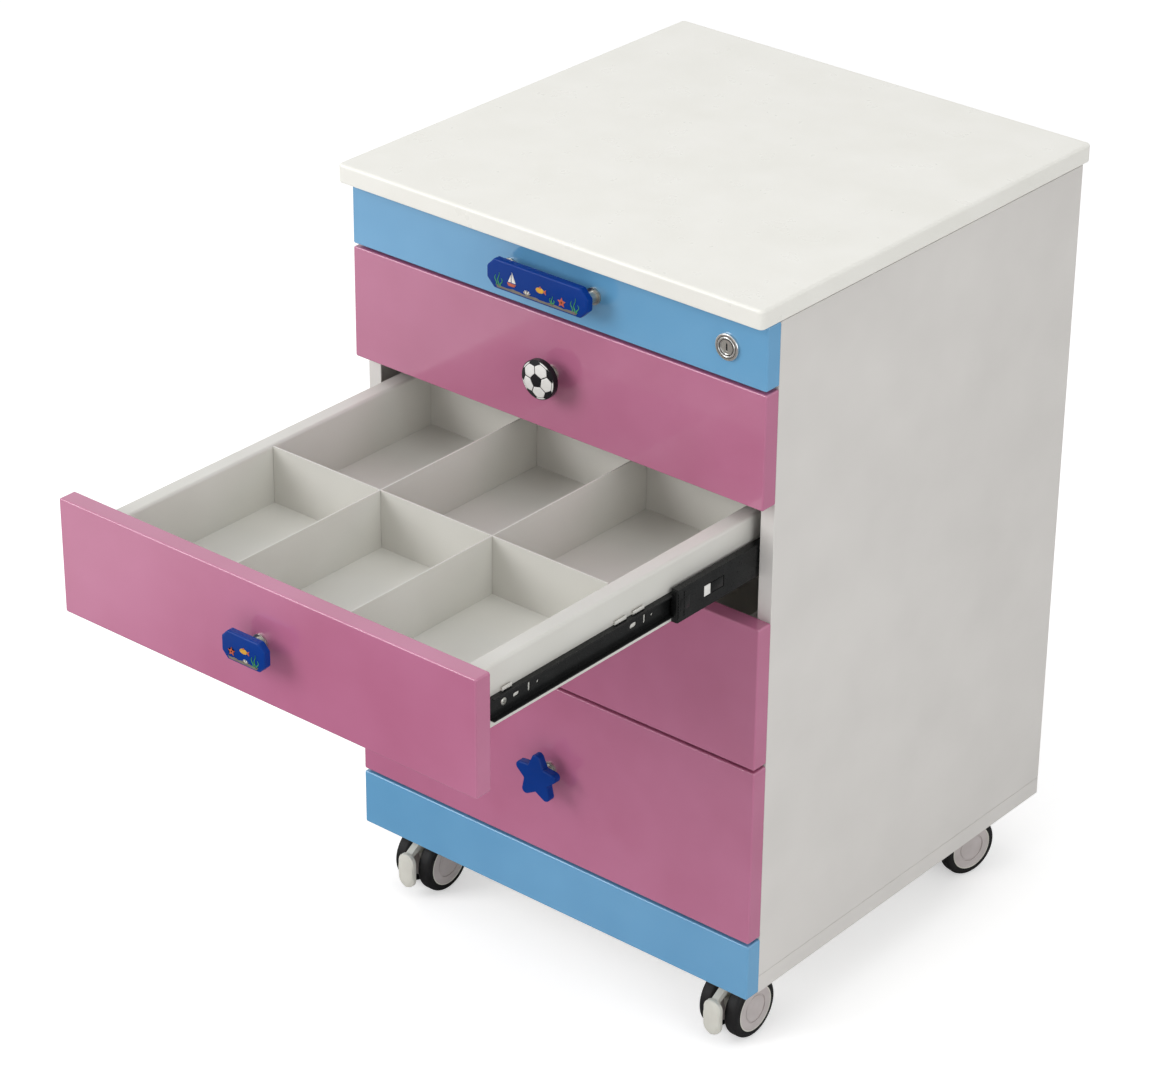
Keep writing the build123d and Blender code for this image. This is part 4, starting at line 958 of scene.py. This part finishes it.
def studio_paper():
    """Pale paper. Shiny fronts mirror it with painted shade: light, dark or grey by its place across the
    floor.
    """
    paper, nodes, links, shader = new_material("studio_paper")
    clouds = spread(nodes, links, grain(nodes, links, 400, 2.0), 0, 1)
    pale = two_tone(nodes, links, clouds, "#f2f2f2", "#efefef")
    place = nodes.new("ShaderNodeTexCoord")
    axes = nodes.new("ShaderNodeSeparateXYZ")
    links.new(place.outputs["Object"], axes.inputs["Vector"])
    x = axes.outputs["X"]
    # Painted shade seen only in reflections: dark and grey bands across the floor darken what the shiny
    # fronts mirror.
    mirrored_painted_shade = two_tone(nodes, links, spread(nodes, links, x, 0, 1, -0.95, -0.6), "#f0f0f0", "#3c3c3c")
    mirrored_painted_shade = two_tone(nodes, links, spread(nodes, links, x, 0, 1, -0.4, -0.05), mirrored_painted_shade, "#b8b8b8")
    rays = nodes.new("ShaderNodeLightPath")
    links.new(two_tone(nodes, links, rays.outputs["Is Glossy Ray"], pale, mirrored_painted_shade),
              shader.inputs["Base Color"])
    shader.inputs["Roughness"].default_value = 0.9
    shader.inputs["Specular IOR Level"].default_value = 0.0
    shader.inputs["Emission Color"].default_value = (1, 1, 1, 1)
    links.new(spread(nodes, links, rays.outputs["Is Camera Ray"], 0.0, 0.45, 0, 1),
              shader.inputs["Emission Strength"])
    return paper


floor_mesh = bpy.data.meshes.new("studio_floor")
floor_mesh.from_pydata([(x * FLOOR_REACH, y * FLOOR_REACH, 0) for x, y in FLOOR_CORNERS], [],
                       [(0, 1, 2, 3)])
floor = bpy.data.objects.new("studio_floor", floor_mesh)
bpy.context.scene.collection.objects.link(floor)
floor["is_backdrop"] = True
floor_mesh.materials.append(studio_paper())

world = bpy.data.worlds.new("studio_world")
bpy.context.scene.world = world
world.use_nodes = True
nodes, links = world.node_tree.nodes, world.node_tree.links
background = nodes["Background"]
background.inputs["Color"].default_value = (1, 1, 1, 1)
links.new(spread(nodes, links, seen_directly(nodes, links), 0.5, 1.0, 0, 1), background.inputs["Strength"])
print("floor and world ready")

# %% Lamps
def softbox(name, place, target, size, power):
    """A rectangular lamp at a place, turned to a target, with its sides in metres and its power in watts."""
    data = bpy.data.lights.new(name, "AREA")
    data.shape = "RECTANGLE"
    data.size, data.size_y = size
    data.energy = power
    lamp = bpy.data.objects.new(name, data)
    bpy.context.scene.collection.objects.link(lamp)
    lamp.location = place
    lamp.rotation_euler = (Vector(target) - Vector(place)).to_track_quat("-Z", "Y").to_euler()


softbox("key_left", place=(-2.4, -3.2, 2.4), target=(0, -0.1, 0.45), size=(2.4, 2.4), power=92)
softbox("top_fill", place=(0.2, -0.2, 3.4), target=(0, 0, 0.5), size=(2.6, 2.6), power=23)
softbox("right_fill", place=(3.2, -0.8, 1.4), target=(0, 0, 0.45), size=(2.0, 2.0), power=27)
bpy.context.scene.view_settings.view_transform = "Standard"

# %% Sizes
low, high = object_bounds()
